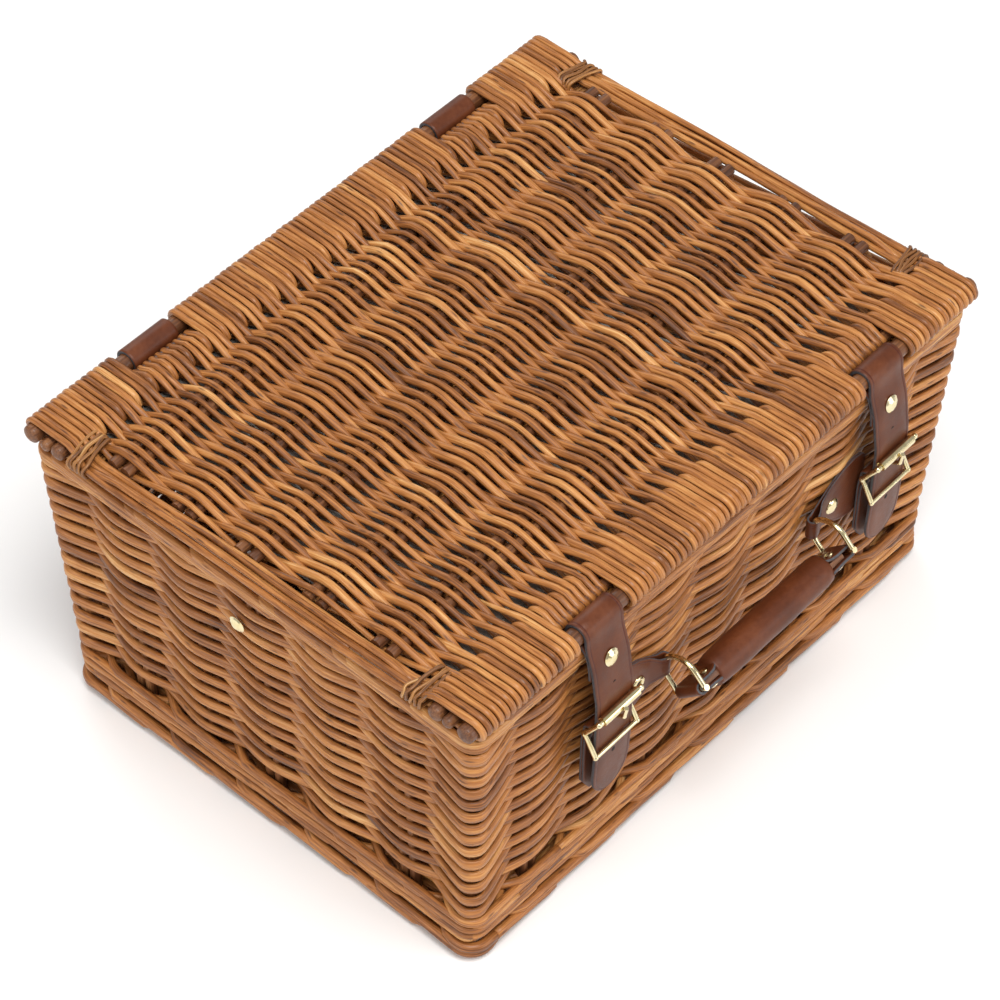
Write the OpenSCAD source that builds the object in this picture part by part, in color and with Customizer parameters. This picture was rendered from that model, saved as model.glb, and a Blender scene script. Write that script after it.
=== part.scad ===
// Wicker picnic basket: willow body and lid, leather hinges, two buckled straps, swinging handle.
// Millimetres, +Z up, the straps face -Y, the origin lies under the middle of the base.

/* [Basket] */
// Length of the lid along X
lid_length = 410; // [300:5:520]
// Width of the lid along Y
lid_width = 312; // [230:4:400]
// Height of the closed basket
total_height = 213; // [170:1:270]
// Outward lean of the four walls, degrees
wall_lean = 2.6; // [0:0.2:6]
// Thickness of the woven walls
wall_t = 14; // [11:0.5:18]
// Lid edge to the middle plane of the wall, at the rim
lid_overhang = 11; // [9.5:0.5:16]
// Distance between neighbouring pairs of stakes
stake_pitch = 48; // [38:1:60]

/* [Willow] */
// Outermost lid stick, which carries the hinges and the straps
edge_stick_d = 10; // [8:0.5:13]
// Second stick of the lid edge
second_stick_d = 6.5; // [5:0.5:8]
// Third stick of the lid edge
third_stick_d = 9; // [7:0.5:11]
// Paired sticks inside the lid and the base
inner_stick_d = 6.5; // [5:0.5:8]
// Thickness of the willow wrapped round the sticks
wrap_t = 3.3; // [2:0.1:4.5]
// Upright stakes, set in pairs
stake_d = 6; // [4:0.5:7]
// Corner posts
post_d = 14; // [10:0.5:16]
// Height of the foot border
foot_h = 16; // [10:1:22]
// Height of the wale above the foot
wale_h = 20; // [12:1:30]
// Height of the top border
border_h = 18; // [12:1:26]

/* [Leather] */
// Thickness of the leather
leather_t = 2.2; // [1.6:0.1:2.8]
// Width of the closing straps and of the buckle leathers
strap_w = 28; // [22:1:34]
// Width of the hinge leathers
hinge_w = 32; // [24:1:40]
// Hinge leathers, distance from the middle
hinge_x = 118; // [80:1:150]
// Sideways offset of the straps and the handle
front_x = 6.5; // [-10:0.5:10]
// Closing straps, distance from their middle
strap_dx = 114.5; // [96:0.5:140]

/* [Brass] */
// Wire of the buckles and the rings
wire_d = 3.2; // [2.6:0.1:3.6]
// Outer diameter of the buckle roller
roller_d = 5.2; // [4.6:0.1:6.4]
// Height of the buckle centre bar above the ground
buckle_z = 139.5; // [110:0.5:150]
// Cap diameter of the rivets
rivet_d = 10; // [7:0.5:12]

/* [Handle] */
// Padded grip diameter
grip_d = 19; // [15:0.5:23]
// Half of the grip length
grip_half = 47; // [38:1:60]
// Radius of the bow of the rings
ring_r = 12; // [10:0.5:14]
// From the swing axis to the straight bar of the rings
ring_drop = 9; // [7:0.5:12]
// How far the handle hangs below level at rest, degrees
droop = 45; // [30:1:50]
// Height of the handle swing axis
swing_z = 128; // [100:1:140]

/* [Hidden] */
$fn = 48;

fit = 0.05;          // running fit, radial
seat = 0.15;         // willow and leather lying on a neighbour
tuck = 0.15;         // a leather tail starts this far inside its own loop
axis_y = lid_width / 2 - edge_stick_d / 2 - wrap_t;
axis_z = total_height - edge_stick_d / 2 - wrap_t;
lid_r = edge_stick_d / 2 + wrap_t;
lid_bottom = total_height - 2 * lid_r;
rim_top = lid_bottom - 0.4;
loop_r = edge_stick_d / 2 + fit + leather_t;
second_y = axis_y - loop_r - second_stick_d / 2 - 0.8;
third_y = second_y - second_stick_d / 2 - third_stick_d / 2 - 0.4;
slot_y = axis_y - loop_r - 0.2;
slot_gap = 3;        // slot wider than the leather, each side
weave_half = lid_length / 2 - 17;
stick_half = lid_length / 2 - 3;
inner_half = lid_length / 2 - 14.7;
end_rod_d = 4.4;
end_rod_x = [for (i = [0:2]) inner_half + end_rod_d / 2 + 0.3 + i * (end_rod_d + 0.2)];
lash_y = third_y - third_stick_d / 2 - 8;
pair_gap = 9;
foot_out = 9.8;      // outer faces of the foot, wale and border, from the wall's middle
wale_out = 8.5;
border_out = 7.6;
foot_w = 22;
wale_w = 16;
border_w = 17;
shank_d = 3;
shank_play = 0.2;
tail_d = 6;
lid_pairs = [for (f = [0.311, 0.167, 0.029, -0.119, -0.266]) f * lid_width];
base_pairs = [for (i = [-2:2]) i * lid_width / 6.5];
base_t = 11;
lining_t = 1.2;

wall_z0 = foot_h + wale_h + 0.8;
wall_z1 = rim_top - border_h - 0.6;
function wall_y(z) = lid_width / 2 - lid_overhang - (rim_top - z) * tan(wall_lean);
function wall_x(z) = lid_length / 2 - lid_overhang - (rim_top - z) * tan(wall_lean);
post_in = 3;
long_stakes = floor((wall_x(0) - post_d) / stake_pitch);
short_stakes = floor((wall_y(0) - post_d) / stake_pitch);
stake_off = stake_d / 2 + 0.3;
stake_z0 = foot_h + 0.8;
stake_z1 = rim_top - 7;

chape_y = wall_y(buckle_z + 12) + wall_t / 2 + seat + leather_t + 0.4;
chape_t = 1.55 * leather_t;
bar_y = chape_y + 4.8;
bar_r = wire_d / 2;
chape_r = bar_r + fit + 0.8 * leather_t;
strap_back = bar_y + chape_r + 0.3;
strap_mid = strap_back + leather_t / 2;
strap_front = strap_back + leather_t;
roller_y = strap_front + 0.2 + roller_d / 2;
roller_z = buckle_z + 13.5;
lower_r = 1.3;
lower_y = strap_front + 0.2 + lower_r;
lower_z = buckle_z - 13.5;
rail_x = strap_w / 2 + 0.6 + bar_r;
tongue_r = 1.2;
tongue_w = 4;
tongue_bend = [roller_y + 3, roller_z - 5.4];
tongue_tip = [roller_y + roller_d / 2 + tongue_r + 0.45, roller_z + 1.8];
hole_d = 4.2;
tongue_slope = (tongue_bend[1] - buckle_z) / (tongue_bend[0] - bar_y);
hole_z = buckle_z + (strap_mid - bar_y) * tongue_slope;
hole_pitch = 13;
strap_tip = buckle_z - 54;
strap_rivet_z = rim_top - 10;

fold_r = bar_r + fit + 0.8 * leather_t;
fold_y = wall_y(swing_z + 6) + wall_t / 2 + 0.3 + fold_r;
swing_y = fold_y + ring_r;
ring_dx = grip_half + 15;
tab_fold_h = 12;
end_w = 19;
tab_rivet_dx = 81;
chape_rivet_z = buckle_z - 44;
stud_z = 161.5;
stud_y = 8;
hinge_tail = rim_top - 58;

core_d = 12;
plate_t = 3;
handle_rivet_len = plate_t + 2 * leather_t + 0.5;
handle_tail_d = 5;
hole_small_d = 2.6;
slant = 9;           // cut corners of a strap tip

// Middle lines of the closing strap, from the loop to the tip, and of its second layer
border_face = wall_y(rim_top - border_h / 2) + border_out;
strap_bend_z = strap_rivet_z - 2;
strap_route = [[-axis_y - loop_r + leather_t / 2 + tuck, axis_z], [-axis_y - loop_r, rim_top + 1],
  [-strap_mid + 3.6, strap_bend_z], [-strap_mid + 1.4, rim_top - 26],
  [-strap_mid, roller_z + 7], [-strap_mid, lower_z - 8],
  [-strap_mid + 1, strap_tip + 12], [-strap_mid + 1.8, strap_tip]];
second_t = 0.9 * leather_t;
second_route = [[-axis_y - 1.5, axis_z - loop_r + leather_t / 2 + tuck],
  [-border_face - 0.7, rim_top + 1.35], [-border_face - 3.5, rim_top - 5],
  [-strap_mid + 5.2, strap_rivet_z - 5]];
function on_line(p, q, z) = p[0] + (q[0] - p[0]) * (z - p[1]) / (q[1] - p[1]);
function lean(p, q) = atan((q[0] - p[0]) / (q[1] - p[1]));
rivet_lean = (lean(strap_route[1], strap_route[2]) + lean(strap_route[2], strap_route[3])) / 2;
// The cap clears the bend under it and the strap at its own upper and lower edges
function strap_face(z) = on_line(strap_route[z > strap_bend_z ? 1 : 3], strap_route[2], z)
  - leather_t / 2 / cos(rivet_lean);
rivet_seat = min([for (z = [strap_rivet_z - rivet_d / 2, strap_bend_z, strap_rivet_z + rivet_d / 2])
  strap_face(z) + (strap_rivet_z - z) * tan(rivet_lean)]) - 0.1;
second_lean = lean(second_route[2], second_route[3]);
strap_tail_d = 5;
strap_rivet_len = on_line(second_route[2], second_route[3], strap_rivet_z)
  + second_t / 2 - rivet_seat + 0.1 + strap_tail_d / 2 * tan(abs(rivet_lean - second_lean));

// Tapered leather of the handle: distance from the handle's middle, height from the swing axis
tab_outline = [[108, -19], [94, -21], [78, -14], [67, -7], [ring_dx, -tab_fold_h / 2],
  [ring_dx, tab_fold_h / 2], [67, 7], [78, 16], [94, 22], [108, 20]];

sides = [-1, 1];

module yz(len) rotate([90, 0, 90]) linear_extrude(len, center = true) children();
module xbar(y, z, d, len) translate([0, y, z]) rotate([0, 90, 0]) cylinder(d = d, h = len, center = true);
module ybar(x, z, d, len) translate([x, 0, z]) rotate([90, 0, 0]) cylinder(d = d, h = len, center = true);

// Straight rod between two points
module rod(p, q, d) {
  v = q - p;
  len = norm(v);
  translate(p)
    rotate([0, acos(v[2] / len), atan2(v[1], v[0])])
      cylinder(d = d, h = len);
}

// Outline of a rectangle with round corners
function round_rect(hx, hy, r, n = 8) = [for (q = [0:3]) for (i = [0:n])
  let (a = q * 90 + i * 90 / n)
  [(q == 0 || q == 3 ? 1 : -1) * (hx - r) + r * cos(a), (q < 2 ? 1 : -1) * (hy - r) + r * sin(a)]];

module band(hx, hy, r, w, z0, h) {
  translate([0, 0, z0])
    linear_extrude(h)
      difference() {
        polygon(round_rect(hx, hy, r));
        polygon(round_rect(hx - w, hy - w, max(r - w, 3)));
      }
}

// Outline of a strip of thickness t laid along a line of points
function unit(v) = v / norm(v);
function normal(p, i) =
  let (a = i == 0 ? p[1] - p[0] : p[i] - p[i - 1])
  let (b = i == len(p) - 1 ? a : p[i + 1] - p[i])
  let (d = unit(unit(a) + unit(b)))
  [-d[1], d[0]];
function strip(p, t) = concat([for (i = [0:len(p) - 1]) p[i] + normal(p, i) * t / 2],
  [for (i = [len(p) - 1:-1:0]) p[i] - normal(p, i) * t / 2]);

// The four walls share one frame: x along the wall, -y outwards, z up the slope
module wall_frame(turn, base) {
  rotate([0, 0, turn])
    translate([0, -base, 0])
      rotate([wall_lean, 0, 0])
        children();
}

module stake_rows(n, extra = 0) {
  for (i = [-n:n]) for (s = sides)
    translate([i * stake_pitch + s * stake_off, 0, stake_z0])
      cylinder(d = stake_d + 2 * extra, h = stake_z1 - stake_z0 + (extra > 0 ? 0.3 : 0));
}

module stakes(turn, extra = 0) {
  long = turn % 180 == 0;
  wall_frame(turn, long ? wall_y(0) : wall_x(0))
    stake_rows(long ? long_stakes : short_stakes, extra);
}

module posts(extra = 0) {
  for (sx = sides) for (sy = sides)
    rod([sx * (wall_x(stake_z0) - post_in), sy * (wall_y(stake_z0) - post_in), stake_z0],
      [sx * (wall_x(stake_z1) - post_in), sy * (wall_y(stake_z1) - post_in), stake_z1],
      post_d + 2 * extra);
}

module all_stakes(extra) {
  posts(extra);
  for (turn = [0:90:270]) stakes(turn, extra);
}

module wall_slab(turn) {
  long = turn % 180 == 0;
  low = (long ? wall_x(wall_z0) : wall_y(wall_z0)) - post_in - post_d / 2 - 0.4;
  high = (long ? wall_x(wall_z1) : wall_y(wall_z1)) - post_in - post_d / 2 - 0.4;
  difference() {
    wall_frame(turn, long ? wall_y(0) : wall_x(0))
      translate([0, wall_t / 2, 0])
        rotate([90, 0, 0])
          linear_extrude(wall_t)
            polygon([[-low, wall_z0], [low, wall_z0], [high, wall_z1], [-high, wall_z1]]);
    stakes(turn, seat);
    children();
  }
}

module base_rods(extra = 0) {
  len = 2 * (wall_x(0) - 2);
  for (y = base_pairs) for (s = sides)
    xbar(y + s * pair_gap / 2, base_t / 2, inner_stick_d + 2 * extra, len + 2 * extra);
}

// Domed cap with a straight shank, the cap facing +Z and its underside at 0
module rivet(cap_d, len, tail_d = tail_d) {
  rotate_extrude()
    polygon([[0, cap_d * 0.2], [cap_d * 0.22, cap_d * 0.18], [cap_d * 0.4, cap_d * 0.1],
      [cap_d / 2, 0.3], [cap_d / 2, 0], [shank_d / 2, 0], [shank_d / 2, -len],
      [tail_d / 2, -len], [tail_d / 2, -len - 1], [0, -len - 1]]);
}
module rivet_hole(len) {
  translate([0, 0, -len])
    cylinder(d = shank_d + shank_play, h = len + 2);
}

module at_hinge_rivets() {
  for (s = sides) for (z = [rim_top - 33, rim_top - 49])
    translate([s * hinge_x, hinge_face(z) + 0.1, z]) rotate([-90 - wall_lean, 0, 0]) children();
}
function hinge_face(z) = wall_y(z) + wall_t / 2 + seat + leather_t + 0.25;

module at_studs() {
  for (s = sides)
    translate([s * (wall_x(stud_z) + wall_t / 2 + 0.3), stud_y, stud_z])
      rotate([0, s * (90 + wall_lean), 0])
        children();
}

module at_tab_rivets() {
  for (s = sides)
    wall_frame(0, wall_y(0))
      translate([front_x + s * tab_rivet_dx, -wall_t / 2 - seat - leather_t - 0.1, swing_z])
        rotate([90, 0, 0])
          children();
}

module at_chape_rivets() {
  for (s = sides)
    translate([front_x + s * strap_dx, -chape_y - chape_t - 0.1, chape_rivet_z])
      rotate([90, 0, 0])
        children();
}
chape_rivet_len = chape_y + chape_t + 0.1 - wall_y(chape_rivet_z) + wall_t / 2 + 0.6;
wall_rivet_len = wall_t + leather_t + 1.2;

// Body -----------------------------------------------------------------
module corner_posts() color("peru") posts();
module stakes_front() color("peru") stakes(0);
module stakes_right() color("peru") stakes(90);
module stakes_back() color("peru") stakes(180);
module stakes_left() color("peru") stakes(270);

module front_weave() {
  color("sandybrown") wall_slab(0) {
    at_tab_rivets() rivet_hole(wall_rivet_len);
    at_chape_rivets() rivet_hole(chape_rivet_len);
  }
}
module back_weave() {
  color("sandybrown") wall_slab(180) at_hinge_rivets() rivet_hole(wall_rivet_len);
}
module left_weave() {
  color("sandybrown") wall_slab(270) at_studs() rivet_hole(wall_rivet_len);
}
module right_weave() {
  color("sandybrown") wall_slab(90) at_studs() rivet_hole(wall_rivet_len);
}

module upsett_wale() {
  z = foot_h + wale_h / 2;
  color("burlywood") difference() {
    band(wall_x(z) + wale_out, wall_y(z) + wale_out, 16, wale_w, foot_h + 0.2, wale_h);
    all_stakes(seat);
  }
}

module foot_border() {
  color("tan") difference() {
    band(wall_x(0) + foot_out, wall_y(0) + foot_out, 18, foot_w, 0, foot_h);
    base_rods(seat);
  }
}

module top_border() {
  z = rim_top - border_h / 2;
  color("burlywood") difference() {
    band(wall_x(z) + border_out, wall_y(z) + border_out, 17, border_w, rim_top - border_h, border_h);
    all_stakes(seat);
  }
}

module base_sticks() color("peru") base_rods();
module base_weave() {
  inside = foot_out - foot_w - 0.3;
  color("sandybrown") difference() {
    linear_extrude(base_t)
      polygon(round_rect(wall_x(0) + inside, wall_y(0) + inside, 3));
    base_rods(seat);
  }
}

// Leather round the outermost hinge stick, its tail riveted to the back wall
module hinge_strap(x) {
  drop = axis_y + loop_r - leather_t / 2 - tuck;
  tail = [[drop, axis_z], [drop, rim_top - border_h - 1],
    [hinge_face(rim_top - 27) - leather_t / 2, rim_top - 27],
    [hinge_face(hinge_tail) - leather_t / 2, hinge_tail]];
  color("saddlebrown") difference() {
    translate([x, 0, 0]) {
      xbar(axis_y, axis_z, 2 * loop_r, hinge_w);
      yz(hinge_w) polygon(strip(tail, leather_t));
    }
    xbar(axis_y, axis_z, edge_stick_d + 2 * fit, lid_length);
    at_hinge_rivets() rivet_hole(wall_rivet_len);
  }
}
module hinge_strap_left() hinge_strap(-hinge_x);
module hinge_strap_right() hinge_strap(hinge_x);
module hinge_rivets() color("gold") at_hinge_rivets() rivet(rivet_d, wall_rivet_len);
module stay_studs() color("gold") at_studs() rivet(rivet_d, wall_t + 0.8);

// Leather folded round the buckle centre bar, riveted to the wall lower down
module buckle_chape(s) {
  low = buckle_z - 52;
  color("saddlebrown") difference() {
    translate([front_x + s * strap_dx, 0, 0])
      intersection() {
        difference() {
          union() {
            xbar(-bar_y, buckle_z, 2 * chape_r, strap_w);
            translate([-strap_w / 2, -chape_y - chape_t, low]) cube([strap_w, chape_t, buckle_z - low]);
          }
          xbar(-bar_y, buckle_z, wire_d + 2 * fit, strap_w + 2);
        }
        rotate([90, 0, 0]) linear_extrude(lid_width)
          polygon([[-strap_w / 2, buckle_z + 10], [-strap_w / 2, low + slant],
            [-strap_w / 2 + 7, low], [strap_w / 2 - 7, low], [strap_w / 2, low + slant],
            [strap_w / 2, buckle_z + 10]]);
      }
    translate([front_x + s * strap_dx, -bar_y, buckle_z])
      cube([tongue_w + 1.2, 4 * chape_r, 4 * chape_r], center = true);
    at_chape_rivets() rivet_hole(chape_rivet_len);
  }
}
module buckle_chape_left() buckle_chape(-1);
module buckle_chape_right() buckle_chape(1);
module chape_rivets() color("gold") at_chape_rivets() rivet(0.7 * rivet_d, chape_rivet_len);

// Tapered leather that carries the ring of the handle
module handle_tab(s) {
  color("saddlebrown") difference() {
    union() {
      wall_frame(0, wall_y(0))
        translate([front_x, -wall_t / 2 - seat, 0])
          rotate([90, 0, 0])
            linear_extrude(leather_t)
              polygon([for (p = tab_outline) [s * p[0], swing_z + p[1]]]);
      translate([front_x + s * ring_dx, -fold_y, swing_z])
        cylinder(r = fold_r, h = tab_fold_h, center = true);
    }
    at_swing(s) bow(bar_r + fit);
    at_tab_rivets() rivet_hole(wall_rivet_len);
  }
}
module handle_tab_left() handle_tab(-1);
module handle_tab_right() handle_tab(1);
module tab_rivets() color("gold") at_tab_rivets() rivet(rivet_d, wall_rivet_len);

// Lid ------------------------------------------------------------------
module edge_sticks(s, extra = 0) {
  xbar(s * axis_y, axis_z, edge_stick_d + 2 * extra, 2 * stick_half);
  xbar(s * second_y, axis_z, second_stick_d + 2 * extra, 2 * stick_half - 3);
  xbar(s * third_y, axis_z, third_stick_d + 2 * extra, 2 * stick_half - 1.5);
}
module inner_sticks(extra = 0) {
  for (y = lid_pairs) for (s = sides)
    xbar(y + s * pair_gap / 2, axis_z, inner_stick_d + 2 * extra, 2 * inner_half);
}
module lid_hinge_sticks() color("sienna") edge_sticks(1);
module lid_front_sticks() color("sienna") edge_sticks(-1);
module lid_inner_sticks() color("sienna") inner_sticks();

module strap_slot(x, y, w) {
  depth = lid_width / 2 - slot_y + 5;
  translate([x, y > 0 ? slot_y + depth / 2 : -slot_y - depth / 2, axis_z])
    cube([w + 2 * slot_gap, depth, 4 * lid_r], center = true);
}

function side_arc(s) = [for (i = [0:12]) let (a = -90 + 15 * i)
  [s * (axis_y + lid_r * cos(a)), axis_z + s * lid_r * sin(a)]];

module lid_weave() {
  color("sandybrown") difference() {
    yz(2 * weave_half) polygon(concat(side_arc(1), side_arc(-1)));
    edge_sticks(1, seat);
    edge_sticks(-1, seat);
    inner_sticks(seat);
    for (s = sides) {
      strap_slot(s * hinge_x, 1, hinge_w);
      strap_slot(front_x + s * strap_dx, -1, strap_w);
    }
  }
}

module end_rods(s, extra = 0) {
  for (x = end_rod_x) ybar(s * x, axis_z, end_rod_d + 2 * extra, 2 * (third_y - third_stick_d / 2 - 0.4));
}
module lid_end_rods_left() color("tan") end_rods(-1);
module lid_end_rods_right() color("tan") end_rods(1);
module lid_lashings() {
  x0 = weave_half + 0.3;
  x1 = end_rod_x[2] + end_rod_d / 2 + 0.7;
  color("burlywood") for (sx = sides) for (sy = sides)
    difference() {
      translate([sx * (x0 + x1) / 2, sy * lash_y, axis_z])
        cube([x1 - x0, 10, end_rod_d + 4], center = true);
      end_rods(sx, fit);
    }
}
module lid_lining() {
  color("gainsboro")
    translate([0, 0, lid_bottom - 0.15 - lining_t])
      linear_extrude(lining_t)
        polygon(round_rect(wall_x(rim_top) - 18, wall_y(rim_top) - 20, 8));
}

// Closing straps ---------------------------------------------------------
module closing_strap(s) {
  x = front_x + s * strap_dx;
  color("saddlebrown") difference() {
    translate([x, 0, 0])
      intersection() {
        union() {
          xbar(-axis_y, axis_z, 2 * loop_r, strap_w);
          yz(strap_w) polygon(strip(strap_route, leather_t));
          yz(strap_w) polygon(strip(second_route, second_t));
        }
        rotate([90, 0, 0])
          linear_extrude(lid_width)
            polygon([[-strap_w / 2, total_height], [-strap_w / 2, strap_tip + 24],
              [-strap_w / 2 + 4, strap_tip + slant], [-4, strap_tip], [4, strap_tip],
              [strap_w / 2 - 4, strap_tip + slant], [strap_w / 2, strap_tip + 24],
              [strap_w / 2, total_height]]);
      }
    xbar(-axis_y, axis_z, edge_stick_d + 2 * fit, lid_length);
    translate([x, -bar_y, buckle_z])
      rotate([90 - atan(tongue_slope), 0, 0])
        cylinder(d = hole_d, h = 12);
    for (i = [-2, -1, 1, 2])
      translate([x, -strap_mid + 4, hole_z + i * hole_pitch])
        rotate([90, 0, 0])
          cylinder(d = hole_small_d, h = 9);
    at_strap_rivet(s) rivet_hole(strap_rivet_len + 2);
  }
}
module at_strap_rivet(s) {
  translate([front_x + s * strap_dx, rivet_seat, strap_rivet_z])
    rotate([90 - rivet_lean, 0, 0])
      children();
}
module closing_strap_left() closing_strap(-1);
module closing_strap_right() closing_strap(1);
module strap_rivet(s) color("gold") at_strap_rivet(s) rivet(rivet_d, strap_rivet_len, strap_tail_d);
module strap_rivet_left() strap_rivet(-1);
module strap_rivet_right() strap_rivet(1);

// Buckles ----------------------------------------------------------------
module buckle_frame(s) {
  color("gold") translate([front_x + s * strap_dx, 0, 0]) {
    xbar(-bar_y, buckle_z, wire_d, 2 * rail_x);
    xbar(-roller_y, roller_z, wire_d, 2 * rail_x);
    xbar(-lower_y, lower_z, 2 * lower_r, 2 * rail_x);
    for (e = sides) {
      rod([e * rail_x, -bar_y, buckle_z], [e * rail_x, -roller_y, roller_z], wire_d - 0.3);
      rod([e * rail_x, -bar_y, buckle_z], [e * rail_x, -lower_y, lower_z], wire_d - 0.4);
      translate([e * rail_x, -roller_y, roller_z]) sphere(d = wire_d + 0.3);
      translate([e * rail_x, -bar_y, buckle_z]) sphere(d = wire_d + 0.4);
      translate([e * rail_x, -lower_y, lower_z]) sphere(d = wire_d);
    }
  }
}
module buckle_frame_left() buckle_frame(-1);
module buckle_frame_right() buckle_frame(1);

module buckle_roller(s) {
  color("khaki") translate([front_x + s * strap_dx, -roller_y, roller_z])
    rotate([0, 90, 0])
      difference() {
        cylinder(d = roller_d, h = strap_w - 1, center = true);
        cylinder(d = wire_d + 2 * fit, h = strap_w + 2, center = true);
      }
}
module buckle_roller_left() buckle_roller(-1);
module buckle_roller_right() buckle_roller(1);

module buckle_tongue(s) {
  color("gold") translate([front_x + s * strap_dx, 0, 0])
    difference() {
      union() {
        xbar(-bar_y, buckle_z, wire_d + 2 * fit + 2.4, tongue_w);
        rod([0, -bar_y - 1, buckle_z + tongue_slope], [0, -tongue_bend[0], tongue_bend[1]], 2 * tongue_r);
        rod([0, -tongue_bend[0], tongue_bend[1]], [0, -tongue_tip[0], tongue_tip[1]], 2 * tongue_r - 0.1);
        translate([0, -tongue_bend[0], tongue_bend[1]]) sphere(d = 2 * tongue_r + 0.2);
      }
      xbar(-bar_y, buckle_z, wire_d + 2 * fit, tongue_w + 4);
    }
}
module buckle_tongue_left() buckle_tongue(-1);
module buckle_tongue_right() buckle_tongue(1);

// Handle -----------------------------------------------------------------
// Frame of one ring: origin on the swing axis, +y towards the crown of its bow, +z along its bar
module at_swing(s) translate([front_x + s * ring_dx, -swing_y, swing_z]) rotate([droop, 0, 0]) children();
module at_grip() {
  translate([front_x, -swing_y, swing_z])
    rotate([droop, 0, 0])
      translate([0, -ring_drop, 0])
        children();
}

// Half circle of wire about the swing axis, on the wall side
module bow(r) {
  rotate([0, 90, 0])
    rotate_extrude(angle = 180)
      translate([ring_r, 0]) circle(r = r);
}

module d_ring(s) {
  color("gold") at_swing(s) {
    bow(bar_r);
    for (e = sides)
      translate([0, 0.5, e * ring_r]) rotate([90, 0, 0]) cylinder(r = bar_r - 0.1, h = ring_drop + 0.5);
    translate([0, -ring_drop, 0]) cylinder(r = bar_r + 0.05, h = 2 * ring_r + wire_d, center = true);
  }
}
module d_ring_left() d_ring(-1);
module d_ring_right() d_ring(1);

module core_blank() {
  at_grip() {
    rotate([0, 90, 0]) cylinder(d = core_d, h = 2 * grip_half, center = true);
    for (s = sides)
      translate([s * (grip_half + ring_dx - 4.4) / 2, 0, 0])
        cube([ring_dx - grip_half - 3.6, plate_t, end_w - 4], center = true);
  }
}
module handle_core() {
  color("wheat") difference() {
    core_blank();
    for (s = sides) at_handle_rivets(s) rivet_hole(handle_rivet_len);
  }
}
module handle_grip() {
  color("saddlebrown") at_grip()
    rotate([0, 90, 0])
      difference() {
        cylinder(d = grip_d, h = 2 * grip_half - 1, center = true);
        cylinder(d = core_d + 0.2, h = 2 * grip_half + 2, center = true);
      }
}
module at_handle_rivets(s) {
  at_grip()
    for (e = sides)
      translate([s * (grip_half + 5.5), -plate_t / 2 - 0.15 - leather_t, e * 4.6])
        rotate([90, 0, 0])
          children();
}
module handle_end(s) {
  inner = plate_t / 2 + 0.1;
  color("saddlebrown") difference() {
    at_grip()
      linear_extrude(end_w, center = true)
        difference() {
          union() {
            translate([s * ring_dx, 0]) circle(r = inner + leather_t);
            translate([s * (grip_half + ring_dx + 0.6) / 2, 0])
              square([ring_dx - grip_half - 0.6, 2 * (inner + leather_t)], center = true);
          }
          translate([s * ring_dx, 0]) circle(r = bar_r + 0.05 + fit);
          translate([s * (ring_dx - 10), 0]) square([20, 2 * inner], center = true);
        }
    at_handle_rivets(s) rivet_hole(handle_rivet_len);
  }
}
module handle_end_left() handle_end(-1);
module handle_end_right() handle_end(1);
module handle_rivets() {
  color("gold") for (s = sides) at_handle_rivets(s) rivet(0.8 * rivet_d, handle_rivet_len, handle_tail_d);
}

corner_posts();
stakes_front();
stakes_back();
stakes_left();
stakes_right();
front_weave();
back_weave();
left_weave();
right_weave();
upsett_wale();
foot_border();
top_border();
base_sticks();
base_weave();
hinge_strap_left();
hinge_strap_right();
hinge_rivets();
stay_studs();
buckle_chape_left();
buckle_chape_right();
chape_rivets();
handle_tab_left();
handle_tab_right();
tab_rivets();
lid_hinge_sticks();
lid_front_sticks();
lid_inner_sticks();
lid_weave();
lid_end_rods_left();
lid_end_rods_right();
lid_lashings();
lid_lining();
closing_strap_left();
closing_strap_right();
strap_rivet_left();
strap_rivet_right();
buckle_frame_left();
buckle_frame_right();
buckle_roller_left();
buckle_roller_right();
buckle_tongue_left();
buckle_tongue_right();
handle_core();
handle_grip();
handle_end_left();
handle_end_right();
handle_rivets();
d_ring_left();
d_ring_right();
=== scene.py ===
import math

import bpy
import numpy as np
from mathutils import Matrix, Vector


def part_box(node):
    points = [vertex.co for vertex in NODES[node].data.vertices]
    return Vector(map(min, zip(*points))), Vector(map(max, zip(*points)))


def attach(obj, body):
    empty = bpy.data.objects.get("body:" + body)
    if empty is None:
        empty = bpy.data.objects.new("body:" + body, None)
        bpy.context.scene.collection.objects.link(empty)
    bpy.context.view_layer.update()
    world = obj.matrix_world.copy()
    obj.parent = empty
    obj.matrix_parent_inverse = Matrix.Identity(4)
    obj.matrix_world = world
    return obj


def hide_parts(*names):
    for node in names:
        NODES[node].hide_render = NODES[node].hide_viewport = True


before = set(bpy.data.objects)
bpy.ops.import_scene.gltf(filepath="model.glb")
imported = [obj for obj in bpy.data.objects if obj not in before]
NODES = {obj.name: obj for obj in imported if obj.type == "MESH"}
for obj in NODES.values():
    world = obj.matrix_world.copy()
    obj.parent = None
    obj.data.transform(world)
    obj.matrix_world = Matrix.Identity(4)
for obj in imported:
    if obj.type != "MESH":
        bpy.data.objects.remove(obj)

MM = 0.001
rng = np.random.default_rng(41)
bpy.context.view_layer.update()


def box_mm(node):
    lo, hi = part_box(node)
    return np.array(lo) / MM, np.array(hi) / MM


# Sizes in millimetres, from the CAD nodes' boxes or as part.scad has them ----------------
HINGE_LO, HINGE_HI = box_mm("lid_hinge_sticks")
RODS_LO, RODS_HI = box_mm("lid_end_rods_right")
WALL_LO, WALL_HI = box_mm("front_weave")
BASE_LO, BASE_HI = box_mm("base_weave")

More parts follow.
